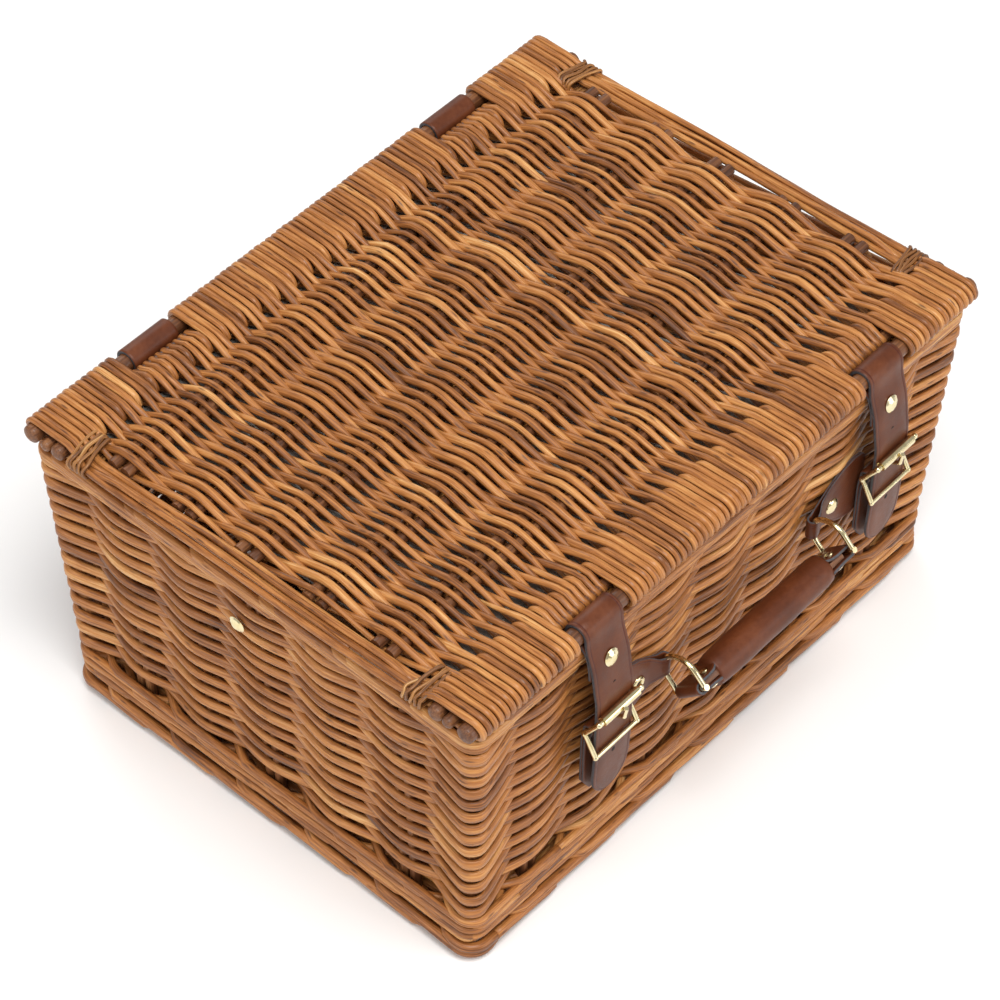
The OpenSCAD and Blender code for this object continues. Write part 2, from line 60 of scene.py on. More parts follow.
EDGE_R, SECOND_R, THIRD_R, PAIR_R = 5.0, 3.25, 4.5, 3.25
AXIS_Y, AXIS_Z = HINGE_HI[1] - EDGE_R, HINGE_HI[2] - EDGE_R
THIRD_Y = HINGE_LO[1] + THIRD_R
SECOND_Y = THIRD_Y + THIRD_R + 0.4 + SECOND_R
LID_W = 312.0
PAIRS = [f * LID_W for f in (0.311, 0.167, 0.029, -0.119, -0.266)]
HINGE_X, HINGE_HALF = 118.0, 16.0
FRONT_X, STRAP_DX, STRAP_HALF = 6.5, 114.5, 14.0
STRAP_X = {"left": FRONT_X - STRAP_DX, "right": FRONT_X + STRAP_DX}
SLOT_GAP = 3.0
LEAN = math.radians(2.6)
RIM_Z, RIM_X, RIM_Y = box_mm("top_border")[1][2], 194.0, 145.0
WALL_HALF, POST_IN = 7.0, 3.0
STAKE_PITCH = 48.0


def wall_y(z):
    return RIM_Y - (RIM_Z - z) * math.tan(LEAN)


def wall_x(z):
    return RIM_X - (RIM_Z - z) * math.tan(LEAN)


# Mesh building ---------------------------------------------------------------------------
def make_mesh(name, co, quads, tris=None, marks=None, values=None, vectors=None):
    """A mesh object from points in millimetres, its faces, and per-point values"""
    co = np.asarray(co, float) * MM
    quads = np.asarray(quads, int).reshape(-1, 4)
    tris = np.asarray(tris if tris is not None else [], int).reshape(-1, 3)
    me = bpy.data.meshes.new(name)
    me.vertices.add(len(co))
    me.vertices.foreach_set("co", co.astype(np.float32).ravel())
    loops = np.r_[quads.ravel(), tris.ravel()]
    me.loops.add(len(loops))
    me.loops.foreach_set("vertex_index", loops.astype(np.int32))
    starts = np.r_[np.arange(len(quads)) * 4, len(quads) * 4 + np.arange(len(tris)) * 3]
    me.polygons.add(len(starts))
    me.polygons.foreach_set("loop_start", starts.astype(np.int32))
    if marks is not None:
        me.polygons.foreach_set("material_index", np.asarray(marks, np.int32))
    me.update(calc_edges=True)
    me.validate()
    me.shade_smooth()
    for key, data in (values or {}).items():
        me.attributes.new(key, "FLOAT", "POINT").data.foreach_set(
            "value", np.asarray(data, np.float32))
    for key, data in (vectors or {}).items():
        me.attributes.new(key, "FLOAT_VECTOR", "POINT").data.foreach_set(
            "vector", np.asarray(data, np.float32).ravel())
    obj = bpy.data.objects.new(name, me)
    bpy.context.scene.collection.objects.link(obj)
    return obj


def tube_faces(n, k):
    """Quads and end triangles of a tube of n rings of k points, its two end points last"""
    i, j = np.arange(n - 1)[:, None] * k, np.arange(k)[None]
    quads = np.stack([i + j, i + (j + 1) % k, i + k + (j + 1) % k, i + k + j], -1)
    this, after, last = np.arange(k), (np.arange(k) + 1) % k, (n - 1) * k
    tris = np.vstack([np.stack([np.full(k, n * k), after, this], -1),
                      np.stack([np.full(k, n * k + 1), last + this, last + after], -1)])
    return quads.reshape(-1, 4), tris


def unit(v):
    return v / np.maximum(np.linalg.norm(v, axis=-1, keepdims=True), 1e-9)


def arc_length(line):
    return np.r_[0, np.cumsum(np.linalg.norm(np.diff(line, axis=0), axis=1))]


def ease(t):
    t = np.clip(t, 0, 1)
    return t * t * (3 - 2 * t)


def spline(points, step):
    """A smooth line through the points, about step apart"""
    p = np.asarray(points, float)
    p = np.vstack([2 * p[0] - p[1], p, 2 * p[-1] - p[-2]])
    out = []
    for i in range(1, len(p) - 2):
        a, b, c, d = p[i - 1:i + 3]
        n = max(2, int(np.linalg.norm(c - b) / step) + 1)
        t = np.linspace(0, 1, n, endpoint=False)[:, None]
        out.append(0.5 * (2 * b + (c - a) * t + (2 * a - 5 * b + 4 * c - d) * t ** 2
                          + (3 * b - a - 3 * c + d) * t ** 3))
    out.append(p[-2][None])
    return np.vstack(out)


class Rods:
    """Willow rods, each a tube along a line, gathered into one mesh"""

    def __init__(self, sides=8):
        self.sides = sides
        self.co, self.quads, self.tris, self.rod, self.tone = [], [], [], [], []
        self.n = 0

    def add(self, line, wide, thick, ref, tone=None, uneven=0.055):
        line = np.asarray(line, float)
        n, k = len(line), self.sides
        s = arc_length(line)
        t = unit(np.gradient(line, axis=0))
        ref = np.broadcast_to(np.asarray(ref, float), line.shape)
        b = unit(ref - (ref * t).sum(1, keepdims=True) * t)
        c = np.cross(t, b)
        ph = rng.uniform(0, 6.28, 3)
        f = 1 + uneven * (np.sin(s / 19 + ph[0]) + 0.7 * np.sin(s / 7.1 + ph[1]))
        a = np.arange(k) * 2 * np.pi / k + ph[2]
        u = np.cos(a)[None] * (np.broadcast_to(wide, n) * f)[:, None]
        v = np.sin(a)[None] * (np.broadcast_to(thick, n) * f)[:, None]
        ring = line[:, None] + u[..., None] * b[:, None] + v[..., None] * c[:, None]
        quads, ends = tube_faces(n, k)
        bulge = 0.35 * float(np.mean(thick))
        self.co.append(ring.reshape(-1, 3))
        self.co.append(np.array([line[0] - t[0] * bulge, line[-1] + t[-1] * bulge]))
        self.quads.append(quads + self.n)
        self.tris.append(ends + self.n)
        start = rng.uniform(0, 4000)
        along = np.broadcast_to((s + start)[:, None], u.shape)
        self.rod.append(np.stack([along, u, v], -1).reshape(-1, 3))
        self.rod.append(np.array([[s[0] + start, 0, 0], [s[-1] + start, 0, 0]]))
        tone = rng.beta(2.6, 2.2) if tone is None else tone
        self.tone.append(np.full(n * k + 2, tone))
        self.n += n * k + 2

    def build(self, name, material, body, slot, replaced=()):
        obj = make_mesh(name, np.vstack(self.co), np.vstack(self.quads), np.vstack(self.tris),
                        values={"tone": np.concatenate(self.tone)},
                        vectors={"rod": np.vstack(self.rod)})
        obj.data.materials.append(material)
        settle(obj, body, replaced)


def settle(obj, body, replaced=()):
    """The body that a piece rides on, and the CAD nodes that it stands in for"""
    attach(obj, body)
    if replaced:
        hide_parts(*replaced)


# Materials -------------------------------------------------------------------------------
class Graph:
    """Short hand for a material's nodes"""

    def __init__(self, name):
        self.mat = bpy.data.materials.new(name)
        self.mat.use_nodes = True
        self.nodes, self.links = self.mat.node_tree.nodes, self.mat.node_tree.links
        self.bsdf = self.nodes["Principled BSDF"]

    def node(self, kind, inputs=None, **settings):
        n = self.nodes.new(kind)
        for key, value in settings.items():
            setattr(n, key, value)
        for key, value in (inputs or {}).items():
            if isinstance(value, bpy.types.NodeSocket):
                self.links.new(value, n.inputs[key])
            else:
                n.inputs[key].default_value = value
        return n

    def math(self, op, a, b=0.0):
        return self.node("ShaderNodeMath", {0: a, 1: b}, operation=op).outputs[0]

    def vector(self, op, a, b):
        return self.node("ShaderNodeVectorMath", {0: a, 1: b}, operation=op).outputs[0]

    def attribute(self, name, output):
        return self.node("ShaderNodeAttribute", attribute_name=name).outputs[output]

    def noise(self, where, scale, detail=3.0, rough=0.55):
        return self.node("ShaderNodeTexNoise", {"Vector": where, "Scale": scale,
                                                "Detail": detail, "Roughness": rough}).outputs[0]

    def span(self, value, a, b, c, d):
        return self.node("ShaderNodeMapRange", {0: value, 1: a, 2: b, 3: c, 4: d}).outputs[0]

    def ramp(self, value, stops):
        n = self.node("ShaderNodeValToRGB", {0: value})
        els = n.color_ramp.elements
        while len(els) < len(stops):
            els.new(0.5)
        for el, (at, colour) in zip(els, stops):
            el.position, el.color = at, (*colour, 1)
        return n.outputs[0]

    def mix(self, share, a, b):
        n = self.node("ShaderNodeMix", data_type="RGBA")
        for socket, value in ((n.inputs[0], share), (n.inputs[6], a), (n.inputs[7], b)):
            if isinstance(value, bpy.types.NodeSocket):
                self.links.new(value, socket)
            else:
                socket.default_value = value if isinstance(value, float) else (*value, 1)
        return n.outputs[2]

    def bump(self, height, strength, distance, under=None):
        inputs = {"Height": height, "Strength": strength, "Distance": distance}
        if under is not None:
            inputs["Normal"] = under
        return self.node("ShaderNodeBump", inputs).outputs[0]

    def finish(self, **sockets):
        for key, value in sockets.items():
            key = key.replace("_", " ")
            if isinstance(value, bpy.types.NodeSocket):
                self.links.new(value, self.bsdf.inputs[key])
            else:
                self.bsdf.inputs[key].default_value = value
        return self.mat


WILLOW = [(0.0, (0.090, 0.028, 0.007)), (0.25, (0.225, 0.076, 0.017)),
          (0.52, (0.400, 0.150, 0.036)), (0.78, (0.550, 0.252, 0.074)),
          (1.0, (0.700, 0.420, 0.170))]
SPLIT = [(0.0, (0.060, 0.020, 0.006)), (0.35, (0.200, 0.075, 0.018)),
         (0.7, (0.400, 0.180, 0.050)), (1.0, (0.640, 0.400, 0.160))]
BROWN = [(0.0, (0.040, 0.014, 0.006)), (0.4, (0.115, 0.040, 0.014)),
         (0.75, (0.210, 0.082, 0.028)), (1.0, (0.330, 0.150, 0.055))]


def willow(name, stops, shift=0.0, cad_axis=None):
    """Boiled willow: fibres along the rod, darker patches, bud scars, a satin skin"""
    g = Graph(name)
    if cad_axis is None:
        rod, tone = g.attribute("rod", "Vector"), g.attribute("tone", "Fac")
        apart = g.math("MULTIPLY", tone, 91.0)
        push = g.node("ShaderNodeCombineXYZ", {0: apart, 1: apart, 2: apart}).outputs[0]
        scales = (0.06, 1.25, 1.25), (0.011, 0.05, 0.05), (0.055, 0.28, 0.28)
        fine, slow, spots = (g.vector("ADD", g.vector("MULTIPLY", rod, k), push) for k in scales)
    else:
        where = g.node("ShaderNodeTexCoord").outputs["Object"]
        stretch = [850.0, 850.0, 850.0]
        stretch[cad_axis] = 40.0
        fine, slow, spots, cloud = (g.vector("MULTIPLY", where, tuple(x * f for x in stretch))
                                    for f in (1.0, 0.09, 0.3, 0.12))
        tone = g.noise(cloud, 1.0, 1.0)
    streak = g.noise(fine, 1.0, 4.0, 0.6)
    patch = g.noise(slow, 1.0, 2.0, 0.5)
    pits = g.node("ShaderNodeTexVoronoi", {"Vector": spots, "Scale": 1.0}).outputs["Distance"]
    value = g.math("MULTIPLY_ADD", tone, 0.44)
    value.node.inputs[2].default_value = shift
    value = g.math("ADD", value, g.span(streak, 0.3, 0.7, -0.25, 0.31))
    value = g.math("ADD", value, g.span(patch, 0.3, 0.7, -0.14, 0.32))
    colour = g.ramp(value, stops)
    scar = g.span(pits, 0.08, 0.20, 1.0, 0.0)
    colour = g.mix(g.math("MULTIPLY", scar, 0.75), colour, (0.07, 0.025, 0.010))
    normal = g.bump(streak, 0.55, 0.0005)
    normal = g.bump(pits, 0.25, 0.0006, normal)
    g.bsdf.inputs["Specular IOR Level"].default_value = 0.32
    g.bsdf.inputs["Coat Weight"].default_value = 0.26
    g.bsdf.inputs["Coat Roughness"].default_value = 0.24
    return g.finish(Base_Color=colour, Roughness=g.span(streak, 0.25, 0.75, 0.38, 0.60),
                    Normal=normal)


def leather():
    """Chestnut leather with a fine grain and a dark crease beside its edges"""
    g = Graph("leather")
    where = g.node("ShaderNodeTexCoord").outputs["Object"]
    cloud = g.noise(where, 45.0, 3.0)
    grain = g.node("ShaderNodeTexVoronoi", {"Vector": where, "Scale": 1500.0,
                                            "Randomness": 1.0}).outputs["Distance"]
    wrinkle = g.noise(where, 420.0, 4.0, 0.6)
    value = g.math("ADD", g.span(cloud, 0.3, 0.7, 0.2, 0.8), g.span(wrinkle, 0.3, 0.7, -0.12, 0.12))
    colour = g.ramp(value, [(0.0, (0.058, 0.014, 0.005)), (0.5, (0.102, 0.026, 0.008)),
                            (1.0, (0.155, 0.045, 0.015))])
    inset = g.attribute("inset", "Fac")
    off = g.math("ABSOLUTE", g.math("SUBTRACT", inset, 2.0))
    line = g.span(off, 0.12, 0.42, 1.0, 0.0)
    colour = g.mix(g.math("MULTIPLY", line, 0.75), colour, (0.050, 0.006, 0.006))
    rim = g.span(inset, 0.0, 0.9, 1.0, 0.0)
    colour = g.mix(g.math("MULTIPLY", rim, 0.45), colour, (0.045, 0.030, 0.032))
    normal = g.bump(grain, 0.22, 0.0002)
    normal = g.bump(wrinkle, 0.18, 0.0004, normal)
    normal = g.bump(g.math("SUBTRACT", 1.0, line), 0.5, 0.0003, normal)
    g.bsdf.inputs["Coat Weight"].default_value = 0.07
    g.bsdf.inputs["Coat Roughness"].default_value = 0.30
    g.bsdf.inputs["Specular IOR Level"].default_value = 0.24
    return g.finish(Base_Color=colour, Roughness=g.span(wrinkle, 0.25, 0.75, 0.36, 0.52),
                    Normal=normal)


def cut_edge():
    """The dark painted edge of the leather"""
    g = Graph("leather_edge")
    where = g.node("ShaderNodeTexCoord").outputs["Object"]
    fibre = g.noise(where, 900.0, 3.0)
    colour = g.ramp(fibre, [(0.3, (0.030, 0.030, 0.034)), (0.7, (0.085, 0.084, 0.094))])
    return g.finish(Base_Color=colour, Roughness=g.span(fibre, 0.3, 0.7, 0.55, 0.8),
                    Normal=g.bump(fibre, 0.4, 0.0003))


def brass():
    g = Graph("brass")
    where = g.node("ShaderNodeTexCoord").outputs["Object"]
    wear = g.noise(where, 160.0, 4.0)
    colour = g.ramp(wear, [(0.35, (0.70, 0.58, 0.31)), (0.6, (0.82, 0.72, 0.46))])
    return g.finish(Base_Color=colour, Metallic=1.0, Roughness=g.span(wear, 0.3, 0.7, 0.12, 0.24))


def cloth():
    """Plain woven lining"""
    g = Graph("lining")
    where = g.node("ShaderNodeTexCoord").outputs["Object"]
    warp, weft = (g.node("ShaderNodeTexWave", {"Vector": where, "Scale": 260.0},
                         bands_direction=way).outputs[1] for way in ("X", "Y"))
    weave = g.math("MULTIPLY", warp, weft)
    tone = g.noise(where, 30.0)
    value = g.math("ADD", g.span(weave, 0.0, 1.0, 0.25, 0.55), g.span(tone, 0.3, 0.7, 0.0, 0.3))
    colour = g.ramp(value, [(0.0, (0.34, 0.33, 0.30)), (1.0, (0.62, 0.61, 0.57))])
    g.bsdf.inputs["Sheen Weight"].default_value = 0.2
    return g.finish(Base_Color=colour, Roughness=0.9, Normal=g.bump(weave, 0.35, 0.0003))


# Near-black for the punched strap holes and the eyelet's hole: painted shade, because these holes
# are not cut open
def painted_hole_shade():
    g = Graph("painted_shade_in_holes")
    where = g.node("ShaderNodeTexCoord").outputs["Object"]
    shade = g.noise(where, 700.0)
    colour = g.ramp(shade, [(0.3, (0.012, 0.006, 0.005)), (0.7, (0.030, 0.014, 0.011))])
    return g.finish(Base_Color=colour, Roughness=0.9)


WILLOW_MAT = willow("willow", WILLOW, 0.10)
PALE_MAT = willow("willow_pale", WILLOW, 0.20)
SPLIT_MAT = willow("split_willow", SPLIT, 0.05)
END_MAT = willow("cut_ends", BROWN, 0.20)
STAKE_MAT = willow("stakes_upright", BROWN, 0.20, 2)
STICK_MAT = willow("sticks_lengthwise", BROWN, 0.10, 0)
LEATHER_MAT, EDGE_MAT, BRASS_MAT = leather(), cut_edge(), brass()
LINING_MAT, HOLE_SHADE_MAT = cloth(), painted_hole_shade()


def dress(node, material):
    """A finish for a CAD node that stays in view"""
    obj = NODES[node]
    if not obj.material_slots:
        obj.data.materials.append(material)
    for s in obj.material_slots:
        s.link = "OBJECT"
        s.material = material


# The lid ---------------------------------------------------------------------------------
WRAP_HALF, WRAPS, WRAP_T = 198.6, 92, 1.6
WRAP_PITCH = 2 * WRAP_HALF / WRAPS
WRAP_X = -WRAP_HALF + WRAP_PITCH * np.arange(WRAPS + 1)
THREES = range(1, 30)


def follow(y, supports):
    """Height at y of a rod held over and under supports (place, height, half of the flat)"""
    out = np.zeros_like(y)
    for (a, va, fa), (b, vb, fb) in zip(supports[:-1], supports[1:]):
        here = (y >= a) & (y <= b)
        t = np.clip((y[here] - a - fa) / (b - a - fa - fb), 0, 1)
        out[here] = va + (vb - va) * (0.88 * t + 0.12 * ease(t))
    return out


def in_slot(side, x):
    spots = [-HINGE_X, HINGE_X] if side > 0 else list(STRAP_X.values())
    half = (HINGE_HALF if side > 0 else STRAP_HALF) + SLOT_GAP + 1.6
    return any(abs(x - s) < half for s in spots)


def turn(side, x_top, x_under):
    """The rod's way over the three edge sticks, round the outer one and back underneath"""
    if in_slot(side, x_top):
        centre, radius, steps = SECOND_Y, 2.45, 7
        top = [(THIRD_Y + 1.5, THIRD_R + WRAP_T - 0.2)]
        under = [(THIRD_Y + 0.5, -THIRD_R - WRAP_T + 0.2), (THIRD_Y - 4, -THIRD_R - 0.6)]
    else:
        centre, radius, steps = AXIS_Y, EDGE_R + WRAP_T - 0.1, 10
        top = [(THIRD_Y + 1.5, THIRD_R + WRAP_T), (SECOND_Y, THIRD_R + WRAP_T + 0.1),
               (AXIS_Y - 4, EDGE_R + WRAP_T - 0.15)]
        under = [(AXIS_Y - 5, -EDGE_R - WRAP_T + 0.2), (SECOND_Y, -THIRD_R - WRAP_T),
                 (THIRD_Y, -THIRD_R - WRAP_T), (THIRD_Y - 5, -THIRD_R - 0.4)]
    bend = [(centre + radius * math.cos(a), radius * math.sin(a))
            for a in np.linspace(math.pi / 2, -math.pi / 2, steps)]
    yz = np.array(top + bend + under)
    s = np.r_[0, np.cumsum(np.linalg.norm(np.diff(yz, axis=0), axis=1))]
    n0, n1 = len(top), len(top) + len(bend) - 1
    share = ease((s - s[n0]) / (s[n1] - s[n0]))
    x = x_top + (x_under - x_top) * share
    return np.c_[x, side * yz[:, 0], AXIS_Z + yz[:, 1]]


def row_height(r, over_edges):
    """Supports of one lid row, from the front edge to the hinge edge"""
    sign = 1 if over_edges else -1
    edge = sign * (THIRD_R + WRAP_T)
    out = [(-THIRD_Y, edge, 2.5)]
    for y in reversed(PAIRS):
        sign = -sign
        out.append((y, sign * (PAIR_R + r * 1.12), 3.4))
    out.append((THIRD_Y, edge, 2.5))
    return out


def lid_row(x, r, over_edges, x_front, x_back):
    y = np.arange(-THIRD_Y, THIRD_Y + 0.1, 2 * THIRD_Y / 58)
    z = AXIS_Z + follow(y, row_height(r, over_edges))
    ph = rng.uniform(0, 6.28, 2)
    wander = 0.42 * np.sin(y / 31 + ph[0]) + 0.22 * np.sin(y / 13 + ph[1])
    out = ease((np.abs(y) - 98) / 24)
    aim = np.where(y > 0, x_back, x_front)
    return np.c_[(x + wander) * (1 - out) + aim * out, y, z]


def lid_rods():
    """The rods that run from the front edge to the hinge edge, over and under the pairs"""
    over, between = Rods(8), Rods(8)
    half_pitch = WRAP_PITCH / 2
    rows = []
    for p in THREES:
        for j, shift in ((3 * p, 1.08), (3 * p + 1, -1.08)):
            rows.append((WRAP_X[j] - shift, WRAP_X[j]))
    for x, w in rows:
        r = float(np.clip(rng.normal(1.95, 0.26), 1.45, 2.35))
        mid = lid_row(x, r, True, w, w)
        front, back = turn(-1, w, w + half_pitch), turn(1, w, w + half_pitch)
        line = np.vstack([front[::-1], mid[1:-1], back])
        edge = ease((np.abs(line[:, 1]) - 106) / 18)
        taper = 1 + rng.uniform(-0.08, 0.08) * line[:, 1] / 128
        wide = (r * (1 - edge) + 1.98 * edge) * taper
        thick = (r * (1 - edge) + WRAP_T * edge) * taper
        over.add(line, wide, thick, (1, 0, 0))
    for (xa, wa), (xb, _) in zip(rows[:-1], rows[1:]):
        r = float(np.clip(rng.normal(1.9, 0.26), 1.4, 2.3))
        x = (xa + xb) / 2
        under_x = wa + half_pitch
        mid = lid_row(x, r, False, under_x, under_x)
        edge = ease((np.abs(mid[:, 1]) - 106) / 18)
        between.add(mid, r * (1 - edge) + 2.0 * edge, r * (1 - edge) + WRAP_T * edge, (1, 0, 0))
    over.build("lid_rods_over", WILLOW_MAT, "lid", "willow", ["lid_weave"])
    between.build("lid_rods_under", WILLOW_MAT, "lid", "willow")


def lid_short_wraps():
    """Every third turn round the edge is a short one that tucks in behind the third stick"""
    rods = Rods(8)
    for p in THREES:
        for side in (-1, 1):
            w = WRAP_X[3 * p + 2] + rng.uniform(-0.2, 0.2)
            loop = turn(side, w, w + WRAP_PITCH / 2)
            y0 = THIRD_Y - rng.uniform(1.0, 3.0)
            tuck = [[w, side * (y0 - 5.5), AXIS_Z - 0.5], [w, side * (y0 - 4.2), AXIS_Z + 2.6],
                    [w, side * (y0 - 2.0), AXIS_Z + 4.8], [w, side * y0, AXIS_Z + 5.8]]
            line = np.vstack([spline(tuck, 1.2), loop])
            rods.add(line, 2.0, 1.65, (1, 0, 0))
    rods.build("lid_short_wraps", WILLOW_MAT, "lid", "willow")


def lid_ends():
    """The outer turns at each corner run on as the rods along the two ends"""
    rest = (RODS_LO[0] + RODS_HI[0]) / 2
    for name, sx in (("left", -1), ("right", 1)):
        rods = Rods(8)
        for k, dx in enumerate((4.6, 0.0, -4.6)):
            w = sx * (WRAP_HALF - WRAP_PITCH * k)
            x = sx * (rest + dx)
            r = rng.uniform(1.95, 2.25)
            y = np.linspace(-THIRD_Y, THIRD_Y, 60)
            out = ease((np.abs(y) - 104) / 20)
            lift = ease((np.abs(y) - 110) / 17)
            wave = 0.5 * np.sin(y / 23 + rng.uniform(0, 6.28)) + 0.3 * (k - 1) * np.cos(y / 70)
            z = AXIS_Z + wave * (1 - lift) + (THIRD_R + WRAP_T) * lift
            mid = np.c_[(x + 0.4 * np.sin(y / 37 + k)) * (1 - out) + w * out, y, z]
            front, back = turn(-1, w, w + WRAP_PITCH / 2), turn(1, w, w + WRAP_PITCH / 2)
            edge = ease((np.abs(np.r_[front[::-1, 1], mid[1:-1, 1], back[:, 1]]) - 108) / 16)
            rods.add(np.vstack([front[::-1], mid[1:-1], back]), r * (1 - edge) + 1.97 * edge,
                     r * (1 - edge) + WRAP_T * edge, (1, 0, 0), 0.35 + 0.15 * k)
        for dx, a, b in ((2.3, 108, -70), (-2.3, -108, 60)):
            y = np.linspace(a, b, 34)
            t = np.linspace(0, 1, 34)
            fade = ease(t * 8) * ease((1 - t) * 5)
            z = AXIS_Z + 3.3 * fade + 0.4 * np.sin(y / 15)
            line = np.c_[sx * (rest + dx) + 0.5 * np.sin(y / 29), y, z]
            rods.add(line, 1.9 - 0.9 * t, 1.8 - 0.9 * t, (1, 0, 0))
        rods.build("lid_end_bundle_" + name, WILLOW_MAT, "lid", "willow", ["lid_end_rods_" + name])


def stick_ends():
    """The cut ends of the three edge sticks stand out past the last turn at each corner"""
    rods = Rods(14)
    for sx in (-1, 1):
        for sy in (-1, 1):
            for y, r in ((AXIS_Y, EDGE_R), (SECOND_Y, SECOND_R), (THIRD_Y, THIRD_R)):
                tip = rng.uniform(203.4, 204.6)
                x = np.array([196, 199, tip - 1.6, tip - 0.6, tip])
                line = np.c_[sx * x, np.full(5, sy * y), np.full(5, AXIS_Z)]
                size = (r + 0.06) * np.array([1, 1, 1, 0.95, 0.78])
                rods.add(line, size, size, (0, 1, 0), rng.uniform(0.1, 0.6), 0.02)
    rods.build("lid_stick_ends", END_MAT, "lid", "willow")


def lid_lashings():
    """Five turns of thin split willow hold each end bundle to the sticks"""
    rods = Rods(6)
    inner, outer, low = 180.5, 204.2, -4.4
    for sx in (-1, 1):
        for sy in (-1, 1):
            for k in range(5):
                y_in = 116.5 + (k - 2) * 1.9 + rng.uniform(-0.2, 0.2)
                y_out = 114.0 + (k - 2) * 2.7 + rng.uniform(-0.3, 0.3)
                top = 5.0 + 0.45 * rng.uniform(-1, 1)
                loop = [[inner, y_in, 0], [inner + 0.6, y_in, top - 1.3],
                        [inner + 3, y_in, top + 0.3],
                        [(inner + outer) / 2, (y_in + y_out) / 2, top],
                        [outer - 3.2, y_out, top - 0.8], [outer - 0.4, y_out, top - 2.4],
                        [outer + 0.2, y_out, 0], [outer - 0.4, y_out - 0.7, low + 2],
                        [outer - 3.2, y_out - 1, low + 0.6], [inner + 3, y_in - 1, low - 0.2],
                        [inner + 0.6, y_in - 0.6, low + 1.2], [inner, y_in, 0]]
                loop = np.array(loop)
                loop[2:6, 1] += rng.uniform(-1.1, 1.1, 4)
                line = spline(loop, 1.4) * [sx, sy, 1] + [0, 0, AXIS_Z]
                rods.add(line, 1.05, 0.95, (0, 1, 0))
    rods.build("lid_lashing_turns", SPLIT_MAT, "lid", "split_willow", ["lid_lashings"])


def lining_sheet():
    """Lining stretched over the underside of the lid, with a turned hem"""
    lo, hi = box_mm("lid_lining")
    nx, ny, t = 71, 51, 0.7
    x, y = np.linspace(lo[0], hi[0], nx), np.linspace(lo[1], hi[1], ny)
    gx, gy = np.meshgrid(x, y, indexing="ij")
    edge = np.minimum(np.minimum(gx - lo[0], hi[0] - gx), np.minimum(gy - lo[1], hi[1] - gy))
    dip = 0.16 * np.sin(gx / 17) * np.sin(gy / 14) + 0.2 * ease(edge / 9)
    top = np.stack([gx, gy, hi[2] - 0.1 - dip], -1)
    low = np.stack([gx, gy, hi[2] - 0.1 - t - dip - 0.25 * (edge < 5)], -1)
    i, j = np.meshgrid(np.arange(nx - 1), np.arange(ny - 1), indexing="ij")
    a = (i * ny + j).ravel()
    up = np.stack([a, a + ny, a + ny + 1, a + 1], -1)
    down = up[:, ::-1] + nx * ny
    ring = np.r_[np.arange(ny), ny - 1 + np.arange(1, nx) * ny,
                 (nx - 1) * ny + np.arange(ny - 2, -1, -1), np.arange(nx - 2, 0, -1) * ny]
    nxt = np.roll(ring, -1)
    wall = np.stack([ring, nxt, nxt + nx * ny, ring + nx * ny], -1)
    co = np.vstack([top.reshape(-1, 3), low.reshape(-1, 3)])
    obj = make_mesh("lining", co, np.vstack([up, down, wall]))
    obj.data.materials.append(LINING_MAT)
    settle(obj, "lid", ["lid_lining"])


# The basket body -------------------------------------------------------------------------
CORNERS = [0, 8, 14, 22, 28]
SUPPORTS = 28
BEND = 0.13


def ring_point(q, z, d):
    """Points round the basket. q counts stake pairs and corners from the front left corner,
    z is the height and d the distance outwards from the middle of the wall"""
    q = np.mod(np.asarray(q, float), SUPPORTS)
    z, d = np.broadcast_to(z, q.shape), np.broadcast_to(d, q.shape)
    px = np.array([wall_x(v) for v in z]) - POST_IN
    py = np.array([wall_y(v) for v in z]) - POST_IN
    out = np.zeros((len(q), 3))
    out[:, 2] = z
    for side, (a, b) in enumerate(zip(CORNERS[:-1], CORNERS[1:])):
        half = (b - a) / 2
        reach = px if side % 2 == 0 else py
        depth = (py if side % 2 == 0 else px) + POST_IN
        local = q - a - half
        last = half - 1
        run = np.where(np.abs(local) <= last, local * STAKE_PITCH,
                       np.sign(local) * (last * STAKE_PITCH + (np.abs(local) - last) / (1 - BEND)
                                         * (reach - last * STAKE_PITCH)))
        here = (q >= a + BEND) & (q <= b - BEND)
        away = depth + d
        spin = [(run, -away), (away, run), (-run, away), (-away, -run)][side]
        out[here, 0], out[here, 1] = spin[0][here], spin[1][here]
    for k, c in enumerate(CORNERS[:-1]):
        off = q - c
        off = np.where(off > SUPPORTS / 2, off - SUPPORTS, off)
        here = np.abs(off) < BEND
        centre = [(-px, -py), (px, -py), (px, py), (-px, py)][k]
        a = math.radians(-135 + 90 * k) + off / BEND * math.pi / 4
        r = POST_IN + d
        out[here, 0] = (centre[0] + r * np.cos(a))[here]
        out[here, 1] = (centre[1] + r * np.sin(a))[here]
    return out


def ring_out(q):
    """Outward direction at q"""
    a = ring_point(q, 100.0, 30.0) - ring_point(q, 100.0, 0.0)
    return unit(a)


def ring_steps(a, b, per_bay=9):
    """Values of q from a to b, closer together round the corners"""
    q = list(np.arange(a, b, 1 / per_bay)) + [b]
    for base in range(int(a // SUPPORTS) * SUPPORTS, int(b) + SUPPORTS, SUPPORTS):
        for c in CORNERS[:-1]:
            q += [c + base + t for t in np.linspace(-BEND, BEND, 9) if a < c + base + t < b]
    return np.unique(np.round(q, 4))


def held(q, value, flat):
    """Smooth values between those at whole q, held for flat beside each"""
    i = np.floor(q).astype(int)
    t = np.clip((q - i - flat) / (1 - 2 * flat), 0, 1)
    v0 = np.array([value(k) for k in i])
    v1 = np.array([value(k + 1) for k in i])
    return v0 + (v1 - v0) * (0.75 * t + 0.25 * ease(t))


def soften(line, times):
    """Rounds the corners of a line, its ends kept"""
    for _ in range(times):
        line = np.vstack([line[:1], (line[:-2] + 2 * line[1:-1] + line[2:]) / 4, line[-1:]])
    return line


